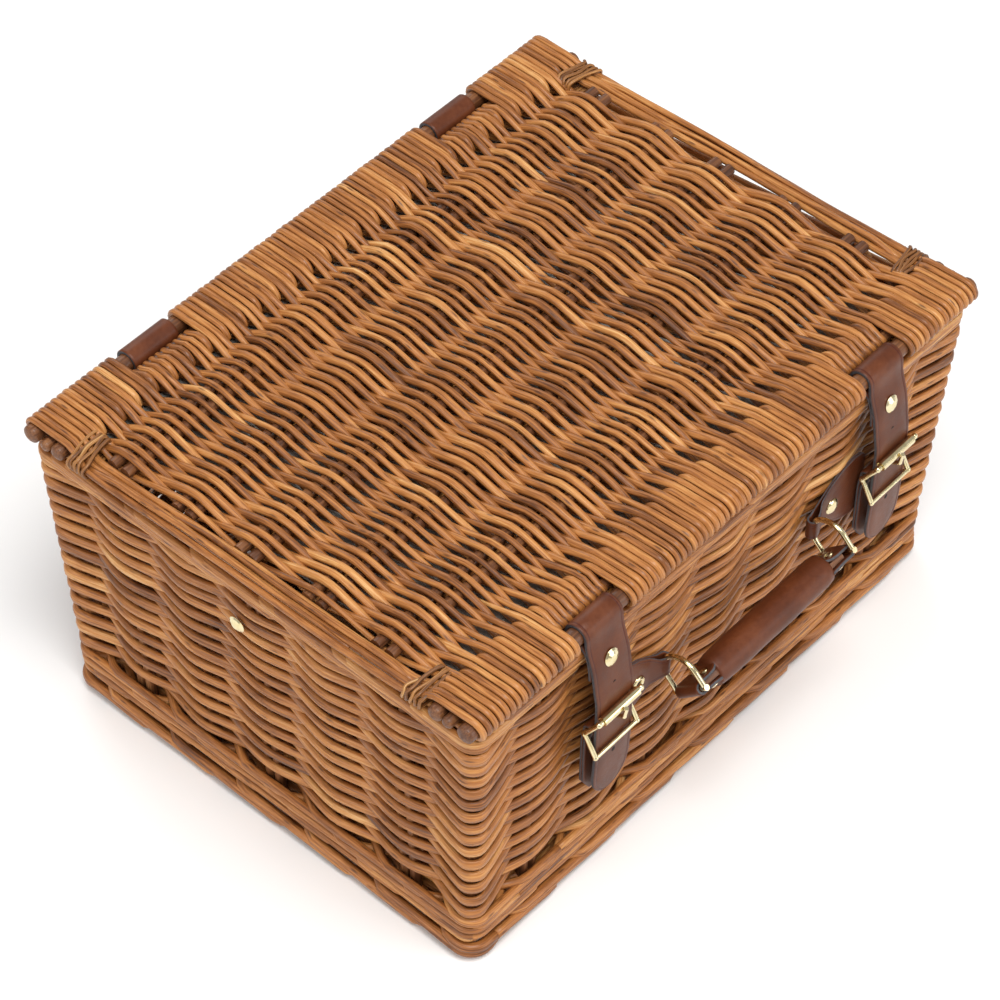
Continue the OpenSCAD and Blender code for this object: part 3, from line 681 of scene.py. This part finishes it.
def wall_rows():
    """Rods woven in front of and behind the stake pairs, round all four walls"""
    z0, z1 = WALL_LO[2] + 1.5, WALL_HI[2] + 2.5
    count = 27
    t = (np.arange(count) + 0.5) / count
    heights = z0 + (z1 - z0) * (1.12 * t - 0.12 * t * t)
    rods = Rods(8)
    for k, z in enumerate(heights):
        odd = k % 2
        lean = rng.uniform(-0.2, 0.2, 64)

        def offset(i):
            m = i % SUPPORTS
            if m in CORNERS:
                return -9.5 if odd else 5.9
            return (4.5 if (m + odd) % 2 == 0 else -4.5) + lean[m]

        inside = [i for i in range(SUPPORTS) if offset(i) < 0 and i not in CORNERS]
        first = int(rng.choice(inside))
        cuts, at = [first], first
        while True:
            at += int(rng.choice([8, 10, 12]))
            at += 2 * (at % SUPPORTS in CORNERS)
            if at >= first + SUPPORTS - 5:
                break
            cuts.append(at)
        cuts.append(first + SUPPORTS)
        for a, b in zip(cuts[:-1], cuts[1:]):
            q = ring_steps(a - 0.16, b + 0.16)
            d = held(q, offset, 0.07)
            wobble = 0.35 * np.sin(q * 1.3 + rng.uniform(0, 6.28)) + 0.2 * np.sin(q * 3.7 + k)
            near = np.minimum(q - q[0], q[-1] - q)
            end = 1 - ease(near / 0.3)
            line = ring_point(q, z + wobble + 0.6 * end * np.sign(q - (a + b) / 2), d - 0.8 * end)
            share = (q - q[0]) / (q[-1] - q[0])
            if rng.random() < 0.5:
                share = 1 - share
            away = np.min([np.abs(q - c) for c in np.add.outer(CORNERS, [0, SUPPORTS]).ravel()],
                          axis=0)
            size = 3.10 - 0.36 * share
            if odd:
                keep = away > 0.15
                line, size = soften(line[keep], 4), size[keep]
                rods.add(line, size, size * 0.80, (0, 0, 1))
            else:
                bent = 1 - ease((away - BEND) / 0.12)
                rods.add(line, size * (1 + 0.24 * bent), size * (0.80 - 0.14 * bent), (0, 0, 1))
    rods.build("wall_rods", WILLOW_MAT, "basket", "willow",
               ["front_weave", "back_weave", "left_weave", "right_weave"])


def strands(rods, z_mid, rise, d_out, d_in, radius, periods, count, phase):
    """A twined row: each of the strands goes outside two supports and inside the next"""
    for k in range(count):
        q = ring_steps(phase, phase + SUPPORTS, 8)
        turns = (q - phase) * periods / SUPPORTS + k / count
        f = turns - np.floor(turns)
        out = ease(f / 0.16) * ease((0.80 - f) / 0.16)
        d = d_in + (d_out - d_in) * out
        z = z_mid + rise * np.where(f < 0.8, 1 - 2 * f / 0.8, -1 + 2 * (f - 0.8) / 0.2)
        z = z + 0.3 * np.sin(q * 0.9 + k * 2)
        cuts = np.unique(np.r_[0, np.where(np.diff(np.floor(turns + 0.1)) > 0)[0][::2], len(q) - 1])
        for a, b in zip(cuts[:-1], cuts[1:]):
            if b - a > 3:
                line = ring_point(q[a:b + 2], z[a:b + 2], d[a:b + 2])
                rods.add(line, radius, radius * 0.92, ring_out(q[a:b + 2]))


def wale():
    """Three twined rows that set the stakes upright above the foot"""
    rods = Rods(8)
    for row, z in enumerate((19.0, 25.5, 32.0)):
        strands(rods, z, 2.2, 5.9, -4.6, 2.45, 9, 3, row * 0.7)
    rods.build("wale_rods", WILLOW_MAT, "basket", "willow", ["upsett_wale"])


def foot():
    """The border that the basket stands on"""
    rods = Rods(8)
    strands(rods, 7.9, 4.6, 7.3, -7.5, 3.05, 9, 3, 0.3)
    strands(rods, 6.0, 2.4, -4.5, -9.0, 3.2, 9, 2, 0.9)
    strands(rods, 5.5, 1.6, -8.6, -12.0, 2.6, 14, 2, 0.4)
    rods.build("foot_rods", WILLOW_MAT, "basket", "willow", ["foot_border"])


def top_border():
    """Each stake pair is laid down along the rim and tucked in behind the next ones"""
    rods = Rods(8)
    for i in range(SUPPORTS):
        for pair, dz in ((-0.07, 0.0), (0.07, 0.9)):
            q0 = i + pair
            reach = rng.uniform(2.5, 2.9)
            q = ring_steps(q0, q0 + reach, 8)
            t = (q - q0) / reach
            z = 183.0 + 9.3 * ease(t / 0.13) - 9.0 * np.clip((t - 0.13) / 0.87, 0, 1) ** 1.15 + dz
            d = 0.5 + 4.4 * ease(t / 0.16) - 9.5 * ease((t - 0.86) / 0.14)
            r = rng.uniform(2.35, 2.75)
            rods.add(ring_point(q, z, d), r * (1 - 0.25 * t), r * 0.9 * (1 - 0.25 * t), ring_out(q))
    for z, d, r in ((193.0, -1.2, 2.7), (192.3, -5.4, 2.6), (187.3, -6.2, 2.7), (182.0, -6.2, 2.6)):
        start = rng.integers(0, SUPPORTS)
        for a in range(start, start + SUPPORTS, 7):
            q = ring_steps(a - 0.2, a + 7.2, 7)
            t = (q - q[0]) / (q[-1] - q[0])
            line = ring_point(q, z + 0.4 * np.sin(q * 1.7), d + 0.6 * np.sin(q * 2.1))
            rods.add(line, r * (1 - 0.2 * t), r * 0.9 * (1 - 0.2 * t), ring_out(q))
    rods.build("top_border_rods", PALE_MAT, "basket", "willow_pale", ["top_border"])


def base_floor():
    """Rods woven over and under the base sticks"""
    rods = Rods(8)
    pitch, r = 4.55, 1.1
    xs = np.arange(BASE_LO[0] - 2, BASE_HI[0] + 3, pitch)
    pairs = [i * LID_W / 6.5 for i in range(-2, 3)]
    mid = (BASE_LO[2] + BASE_HI[2]) / 2
    for k, x in enumerate(xs):
        y = np.linspace(BASE_LO[1] - 6.5, BASE_HI[1] + 6.5, 46)
        sign = 1 if k % 2 else -1
        supports = [(y[0] - 1, sign * 1.0, 0)]
        for p in pairs:
            sign = -sign
            supports.append((p, sign * (PAIR_R + r), 4.5))
        supports.append((y[-1] + 1, -sign * 1.0, 0))
        z = mid + follow(y, supports)
        rods.add(np.c_[x + 0.3 * np.sin(y / 21 + k), y, z], 2.25, r, (1, 0, 0))
    rods.build("base_rods", WILLOW_MAT, "basket", "willow", ["base_weave"])


# Leather ---------------------------------------------------------------------------------
INSETS = [0.0, 0.35, 1.6, 2.0, 2.4]
CREASE_DEPTH = {0.0: 0.4, 0.35: 0.0, 1.6: 0.0, 2.0: 0.2, 2.4: 0.0}
FAR_IN = 9.0
STRAP_T, STRAP_Y, STICK_LOOP_R = 2.2, -162.34, 6.2


def leather_strip(name, line, across, low, high, thick, body, replaced=(), crease=1.0, flip=1):
    """A strip along a line of points, from low to high along across, its outer face creased"""
    line = np.asarray(line, float)
    n = len(line)
    across = np.asarray(across, float)
    t = unit(np.gradient(line, axis=0))
    normal = flip * unit(np.cross(t, np.broadcast_to(across, t.shape)))[:, None]
    low, high = np.broadcast_to(low, n), np.broadcast_to(high, n)
    thick = np.broadcast_to(thick, n)[:, None]
    half, mid = (high - low) / 2, (high + low) / 2
    fit = np.minimum(1, half / 3.2)
    # columns of points across the strip: where they are, how far in, and how deep below the face
    edge = [(-half + e * fit, e * fit, CREASE_DEPTH[e] * (crease if e else 1)) for e in INSETS]
    inner = [(-half + INSETS[-1] * fit) * f for f in (0.5, 0.0, -0.5)]
    columns = edge + [(c, half - np.abs(c), 0.0) for c in inner]
    columns += [(-c, i, d) for c, i, d in reversed(edge)]
    m = len(columns)
    u = (np.stack([c[0] for c in columns], 1) + mid[:, None])[..., None] * across
    inset = np.stack([c[1] for c in columns], 1)
    thin = np.minimum(1, thick / 1.6)
    drop = np.array([c[2] for c in columns]) * thin
    rounded = np.where(np.arange(m) % (m - 1) == 0, CREASE_DEPTH[0.0], 0.0) * thin
    face = line[:, None] + u + (thick / 2 - drop)[..., None] * normal
    back = line[:, None] + u - (thick / 2 - rounded)[..., None] * normal
    ring = np.concatenate([face, back[:, ::-1]], 1)
    k = 2 * m
    i, j = np.meshgrid(np.arange(n - 1) * k, np.arange(k), indexing="ij")
    quads = np.stack([i + j, i + (j + 1) % k, i + k + (j + 1) % k, i + k + j], -1).reshape(-1, 4)
    marks = np.where(np.isin(j.ravel(), [m - 1, k - 1]), 1, 0)
    caps, base = [], (n - 1) * k
    for c in range(m - 1):
        caps.append([c + 1, c, k - 1 - c, k - 2 - c])
        caps.append([base + c, base + c + 1, base + k - 2 - c, base + k - 1 - c])
    quads = np.vstack([quads, caps])[:, ::flip]
    marks = np.r_[marks, np.ones(len(caps), int)]
    inset = np.concatenate([inset, np.full_like(inset, FAR_IN)], 1).ravel()
    if not crease:
        inset = np.where(inset > 1.0, FAR_IN, inset)
    obj = make_mesh(name, ring.reshape(-1, 3), quads, marks=marks, values={"inset": inset})
    obj.data.materials.append(LEATHER_MAT)
    obj.data.materials.append(EDGE_MAT)
    keep_edges(obj)
    settle(obj, body, replaced)


def keep_edges(obj):
    """Keeps the cut edges crisp"""
    me = obj.data
    marks = np.zeros(len(me.polygons), np.int32)
    me.polygons.foreach_get("material_index", marks)
    faces = {}
    for p in me.polygons:
        for e in p.edge_keys:
            faces.setdefault(e, []).append(marks[p.index])
    sharp = np.array([len(set(faces.get(tuple(sorted(e.vertices)), []))) > 1 for e in me.edges])
    me.attributes.new("sharp_edge", "BOOLEAN", "EDGE").data.foreach_set("value", sharp)


def arc_yz(cy, cz, r, a0, a1, n=22):
    a = np.radians(np.linspace(a0, a1, n))
    return [[cy + r * math.cos(v), cz + r * math.sin(v)] for v in a]


def closing_strap(side):
    """One long strap: a short second layer, round the front stick, down to the tip"""
    x = STRAP_X[side]
    tip = box_mm("closing_strap_" + side)[0][2]
    back = [[-157.25, tip + 92.5], [-157.0, tip + 97], [-155.75, tip + 105.5],
            [-153.6, tip + 110.5]]
    loop = arc_yz(-AXIS_Y, AXIS_Z, STICK_LOOP_R, -110, 175)
    front = [[-154.95, 197], [STRAP_Y + 3.6, 184], [STRAP_Y + 1.4, 170], [STRAP_Y, 160],
             [STRAP_Y, 139], [STRAP_Y, 118], [STRAP_Y + 1, tip + 12], [STRAP_Y + 1.8, tip]]
    yz = np.vstack([spline(back + loop[:1], 2.0)[:-1], loop, spline([loop[-1]] + front, 1.6)[1:]])
    line = np.c_[np.full(len(yz), x), yz]
    s = arc_length(line)
    z_run = np.where(s > s[-1] - 80, line[:, 2], 200.0)
    half = np.where(z_run > tip + 22, STRAP_HALF,
                    STRAP_HALF * np.sqrt(1 - np.clip((tip + 22 - z_run) / 22.3, 0, 1) ** 2.6))
    half = np.maximum(half, 2.2)
    thick = np.where(s < 12, 1.9, STRAP_T)
    leather_strip("strap_leather_" + side, line, (1, 0, 0), -half, half, thick,
                  "strap_" + side, ["closing_strap_" + side])


def strap_hole_shades(side):
    """The punched holes for the tongue: near-black discs of painted shade set into the strap face,
    the holes themselves not cut open
    """
    x, r, depth, sides = STRAP_X[side], 1.25, 0.5, 16
    a = np.arange(sides) * 2 * np.pi / sides
    co, quads, tris, n = [], [], [], 0
    for z, y_off in ((116.8, 0.0), (129.9, 0.0), (155.8, 0.0), (168.8, 1.3)):
        y = STRAP_Y - STRAP_T / 2 - 0.04 + y_off
        for dy in (0.0, depth):
            co.append(np.c_[x + r * np.cos(a), np.full(sides, y + dy), z + r * 1.25 * np.sin(a)])
        co.append(np.array([[x, y, z], [x, y + depth, z]]))
        around, ends = tube_faces(2, sides)
        quads.append(around + n)
        tris.append(ends + n)
        n += 2 * sides + 2
    obj = make_mesh("strap_hole_shade_" + side, np.vstack(co), np.vstack(quads), np.vstack(tris))
    # near-black painted shade in place of open holes
    obj.data.materials.append(HOLE_SHADE_MAT)
    settle(obj, "strap_" + side)


def hinge_strap(side, x):
    """A band round the rear stick, both ends riveted to the back wall"""
    lo = box_mm("hinge_strap_" + side)[0]
    off = WALL_HALF + 1.5
    tail = [[wall_y(z) + off, z] for z in (lo[2], 150, 163)]
    tail += [[wall_y(172) + off + 0.4, 172], [153.85, 181], [153.85, 197]]
    yz = np.vstack([spline(tail, 2.2), arc_yz(AXIS_Y, AXIS_Z, STICK_LOOP_R, 0, 292, 30)])
    line = np.c_[np.full(len(yz), x), yz]
    s = arc_length(line)
    half = HINGE_HALF - 4.0 * np.clip(1 - s / 9, 0, 1) ** 2
    leather_strip("hinge_leather_" + side, line, (1, 0, 0), -half, half, STRAP_T, "basket",
                  ["hinge_strap_" + side], flip=-1)


def buckle_chape(side):
    """Leather folded round the centre bar, slotted for the tongue, riveted below"""
    x = STRAP_X[side]
    low, back_y, front_y = 87.5, -153.7, -155.3
    loop = arc_yz(-157.53, 139.5, 2.55, -20, 215, 26)
    back = [[back_y, low], [back_y, low + 20], [back_y - 0.05, 128], [-154.4, 135]]
    front = [[-158.6, 136.0], [-156.1, 131.5], [front_y - 0.05, 126], [front_y, low + 14],
             [front_y, low]]
    yz = np.vstack([spline(back + [loop[0]], 2.5)[:-1], loop, spline([loop[-1]] + front, 2.2)[1:]])
    slot_half = 2.7
    for part, a, b in (("inner", -STRAP_HALF, -slot_half), ("outer", slot_half, STRAP_HALF)):
        line = np.c_[np.full(len(yz), x), yz]
        nip = 5.0 * np.clip(1 - (yz[:, 1] - low) / 9, 0, 1)
        ends = (a + nip, b) if a < 0 else (a, b - nip)
        leather_strip("chape_%s_%s" % (part, side), line, (1, 0, 0), *ends, 1.6, "basket",
                      ["buckle_chape_" + side] if a < 0 else (), crease=0.0)
    for part, y in (("back", back_y), ("front", front_y)):
        z = np.linspace(low, 130, 18)
        line = np.c_[np.full(18, x), np.full(18, y), z]
        leather_strip("chape_%s_%s" % (part, side), line, (1, 0, 0), 0.1 - slot_half,
                      slot_half - 0.1, 1.58, "basket", crease=0.0)


# The handle and its tabs -----------------------------------------------------------------
DROOP = math.radians(45)
SWING_Y, SWING_Z, RING_DROP, RING_DX = -164.9, 128.0, 9.0, 62.0
GRIP_HALF, GRIP_R = 47.0, 9.5
TAB_FACE_Y, TAB_RIVET_X = -151.45, 81


def tab_heights(side, out):
    """Lower and upper edge of a handle tab at a distance from the handle's middle"""
    at = [58, 66, 72, 80, 90, 99, 106, 109]
    if side == "left":
        low = [-6, -6.6, -9.5, -14.5, -18.5, -19, -13, -4]
        high = [6, 7.5, 12, 17, 20.5, 21, 16, 6]
    else:
        low = [-6, -6.4, -8.5, -13, -18, -20.5, -19.5, -17]
        high = [6, 7.2, 11, 16.5, 21, 22.5, 21, 18]
    return np.interp(out, at, low), np.interp(out, at, high)


def handle_tab(side):
    """Tapered leather folded round the ring, a thin layer before and behind"""
    s = -1 if side == "left" else 1
    fold_y, r = -152.9, 2.55
    back = [[108.5, -149.6], [90, -149.65], [74, -149.7], [66.5, -149.9]]
    a = np.radians(np.linspace(75, 285, 20))
    loop = [[RING_DX + r * math.cos(v), fold_y + r * math.sin(v)] for v in a]
    front = [[67.5, -153.6], [72, -151.4], [78, -150.85], [90, -150.8], [108.5, -150.8]]
    xy = np.vstack([spline(back + [loop[0]], 1.5)[:-1], loop, spline([loop[-1]] + front, 1.5)[1:]])
    low, high = tab_heights(side, xy[:, 0])
    line = np.c_[FRONT_X + s * xy[:, 0], xy[:, 1], np.full(len(xy), SWING_Z)]
    sl = arc_length(line)
    bend = np.abs(sl - sl[len(sl) // 2])
    thick = np.where(bend < 9, 1.7, 1.15)
    leather_strip("handle_tab_leather_" + side, line, (0, 0, 1), low, high, thick,
                  "basket", ["handle_tab_" + side], crease=0.4, flip=s)


def grip_frame(points):
    """From the handle's own frame to the basket's"""
    p = np.asarray(points, float)
    y, z = p[:, 1] - RING_DROP, p[:, 2]
    c, s = math.cos(DROOP), math.sin(DROOP)
    return np.c_[p[:, 0] + FRONT_X, y * c - z * s + SWING_Y, y * s + z * c + SWING_Z]


def grip():
    """Padded leather tube with a seam ridge along its lower front"""
    n, k = 64, 48
    x = np.linspace(-GRIP_HALF, GRIP_HALF, n)
    a = np.arange(k) * 2 * np.pi / k
    end = np.minimum(x - x[0], x[-1] - x)
    body = GRIP_R * (0.90 + 0.07 * ease(end / 5) + 0.03 * ease(end / 30))
    seam_at = math.radians(208)
    diff = np.angle(np.exp(1j * (a - seam_at)))
    ridge = 0.75 * np.exp(-(diff / 0.16) ** 2) - 0.35 * np.exp(-((diff - 0.42) / 0.18) ** 2)
    r = body[:, None] + ridge[None] * ease(end / 6)[:, None] + 0.12 * np.sin(x / 6.0)[:, None]
    r = np.minimum(r, GRIP_R + 0.5)
    co = np.stack([np.broadcast_to(x[:, None], r.shape), r * np.cos(a), r * np.sin(a)], -1)
    caps = np.array([[x[0] - 0.6, 0, 0], [x[-1] + 0.6, 0, 0]])
    pts = grip_frame(np.vstack([co.reshape(-1, 3), caps]))
    quads, tris = tube_faces(n, k)
    obj = make_mesh("handle_padding", pts, np.roll(quads[:, ::-1], 1, 1), tris[:, ::-1],
                    values={"inset": np.full(len(pts), FAR_IN)})
    obj.data.materials.append(LEATHER_MAT)
    settle(obj, "handle", ["handle_grip"])


def handle_end(side):
    """Leather folded round the ring's bar, its two layers riveted to the grip"""
    s = -1 if side == "left" else 1
    r = 2.75
    a = np.radians(np.linspace(90, -90, 18))
    loop = [[RING_DX + r * math.cos(v), r * math.sin(v)] for v in a]
    one = [[GRIP_HALF - 0.8, 4.2], [GRIP_HALF + 2.0, 3.3], [54, 2.75]]
    two = [[54, -2.75], [GRIP_HALF + 2.0, -3.3], [GRIP_HALF - 0.8, -4.2]]
    xy = np.vstack([spline(one + loop[:1], 1.2)[:-1], loop, spline(loop[-1:] + two, 1.2)[1:]])
    line = grip_frame(np.c_[s * xy[:, 0], xy[:, 1], np.zeros(len(xy))])
    across = grip_frame([[0, 0, 1.0]]) - grip_frame([[0, 0, 0.0]])
    sl = arc_length(line)
    near = np.minimum(sl, sl[-1] - sl)
    half = 9.4 - 2.2 * np.clip(1 - near / 5, 0, 1) ** 2
    leather_strip("handle_fold_" + side, line, across[0], -half, half, 2.0, "handle",
                  ["handle_end_" + side], crease=0.3, flip=s)


def turned(name, x, profile, material, replaced=(), sides=32):
    """A form turned about an axis straight out of a tab, from its (radius, height) profile"""
    a = np.arange(sides) * 2 * np.pi / sides
    co = [np.c_[x - r * np.sin(a), np.full(sides, TAB_FACE_Y - h), SWING_Z + r * np.cos(a)]
          for r, h in profile]
    i, j = np.arange(len(profile) - 1)[:, None] * sides, np.arange(sides)[None]
    after = (j + 1) % sides
    quads = np.stack([i + j, i + after, i + sides + after, i + sides + j], -1)
    obj = make_mesh(name, np.vstack(co), quads)
    obj.data.materials.append(material)
    settle(obj, "basket", replaced)


def tab_fittings():
    """An open eyelet on the left tab, its hole filled with a near-black disc of painted shade, and
    a domed rivet on the right one
    """
    eyelet = [(2.2, -0.6), (2.2, 0.3), (2.5, 0.85), (3.2, 1.15), (4.1, 1.0), (4.7, 0.55),
              (4.9, 0.0), (4.6, -0.3), (2.2, -0.6)]
    dome = [(0.02, 2.3), (1.2, 2.2), (2.4, 1.85), (3.6, 1.3), (4.6, 0.6), (5.0, 0.15),
            (5.0, -0.15), (1.6, -0.2), (1.6, -1.2), (0.02, -1.2)]
    shade_disc = [(0.02, 0.05), (2.25, 0.05), (2.25, -0.2), (0.02, -0.2)]
    left, right = FRONT_X - TAB_RIVET_X, FRONT_X + TAB_RIVET_X
    turned("tab_eyelet_left", left, eyelet, BRASS_MAT, ["tab_rivets"])
    # a near-black disc of painted shade in the eyelet's hole
    turned("tab_eyelet_painted_shade", left, shade_disc, HOLE_SHADE_MAT)
    turned("tab_dome_right", right, dome, BRASS_MAT)


# Everything together ---------------------------------------------------------------------
lid_rods()
lid_short_wraps()
lid_ends()
stick_ends()
lid_lashings()
lining_sheet()
wall_rows()
wale()
foot()
top_border()
base_floor()
for side_name in ("left", "right"):
    closing_strap(side_name)
    strap_hole_shades(side_name)
    buckle_chape(side_name)
    handle_tab(side_name)
    handle_end(side_name)
hinge_strap("left", -HINGE_X)
hinge_strap("right", HINGE_X)
grip()
tab_fittings()

for cad in ("corner_posts", "stakes_front", "stakes_back", "stakes_left", "stakes_right"):
    dress(cad, STAKE_MAT)
for cad in ("lid_hinge_sticks", "lid_front_sticks", "lid_inner_sticks", "base_sticks",
            "handle_core"):
    dress(cad, STICK_MAT)
for cad in ("hinge_rivets", "stay_studs", "chape_rivets", "strap_rivet_left",
            "strap_rivet_right", "buckle_frame_left", "buckle_frame_right",
            "buckle_roller_left", "buckle_roller_right", "buckle_tongue_left",
            "buckle_tongue_right", "handle_rivets", "d_ring_left", "d_ring_right"):
    dress(cad, BRASS_MAT)


# Floor, light and camera -----------------------------------------------------------------
def studio():
    scene = bpy.context.scene
    bpy.ops.mesh.primitive_plane_add(size=30, location=(0, 0, 0))
    floor = bpy.context.object
    floor.name = "floor"
    g = Graph("floor")
    where = g.node("ShaderNodeTexCoord").outputs["Object"]
    tone = g.ramp(g.noise(where, 3.0), [(0.3, (0.86, 0.86, 0.86)), (0.7, (0.90, 0.90, 0.90))])
    floor.data.materials.append(g.finish(Base_Color=tone, Roughness=0.95))
    world = bpy.data.worlds.new("studio")
    scene.world = world
    world.use_nodes = True
    back = world.node_tree.nodes["Background"]
    back.inputs[0].default_value = (1.0, 1.0, 1.0, 1)
    back.inputs[1].default_value = 0.46
    for name, place, size, power, warm in (
            ("key", (-0.5, -0.9, 2.6), 1.2, 58, (1.0, 0.985, 0.96)),
            ("left", (-2.4, 0.2, 1.4), 1.5, 22, (1.0, 0.99, 0.98)),
            ("front", (0.9, -2.6, 1.0), 1.5, 24, (1.0, 0.99, 0.98)),
            ("back", (1.2, 2.2, 1.9), 1.6, 18, (0.98, 0.99, 1.0))):
        data = bpy.data.lights.new(name, "AREA")
        data.size, data.energy, data.color = size, power, warm
        lamp = bpy.data.objects.new(name, data)
        lamp.location = place
        aim = Vector((0, 0, 0.1)) - Vector(place)
        lamp.rotation_mode = "QUATERNION"
        lamp.rotation_quaternion = aim.to_track_quat("-Z", "Y")
        scene.collection.objects.link(lamp)
    scene.view_settings.view_transform = "Standard"


def camera():
    data = bpy.data.cameras.new("camera")
    data.lens, data.sensor_width = 128.40, 36.0
    data.clip_start, data.clip_end = 0.05, 60.0
    cam = bpy.data.objects.new("camera", data)
    right = Vector((0.65510547, -0.75549330, 0.00816643))
    up = Vector((0.55580691, 0.48921805, 0.67211933))
    back = Vector((-0.51177682, -0.43577009, 0.74039781))
    turn_ = Matrix((right, up, back)).transposed().to_4x4()
    cam.matrix_world = Matrix.Translation((-0.99569, -0.84231, 1.53144)) @ turn_
    bpy.context.scene.collection.objects.link(cam)
    bpy.context.scene.camera = cam


studio()
camera()
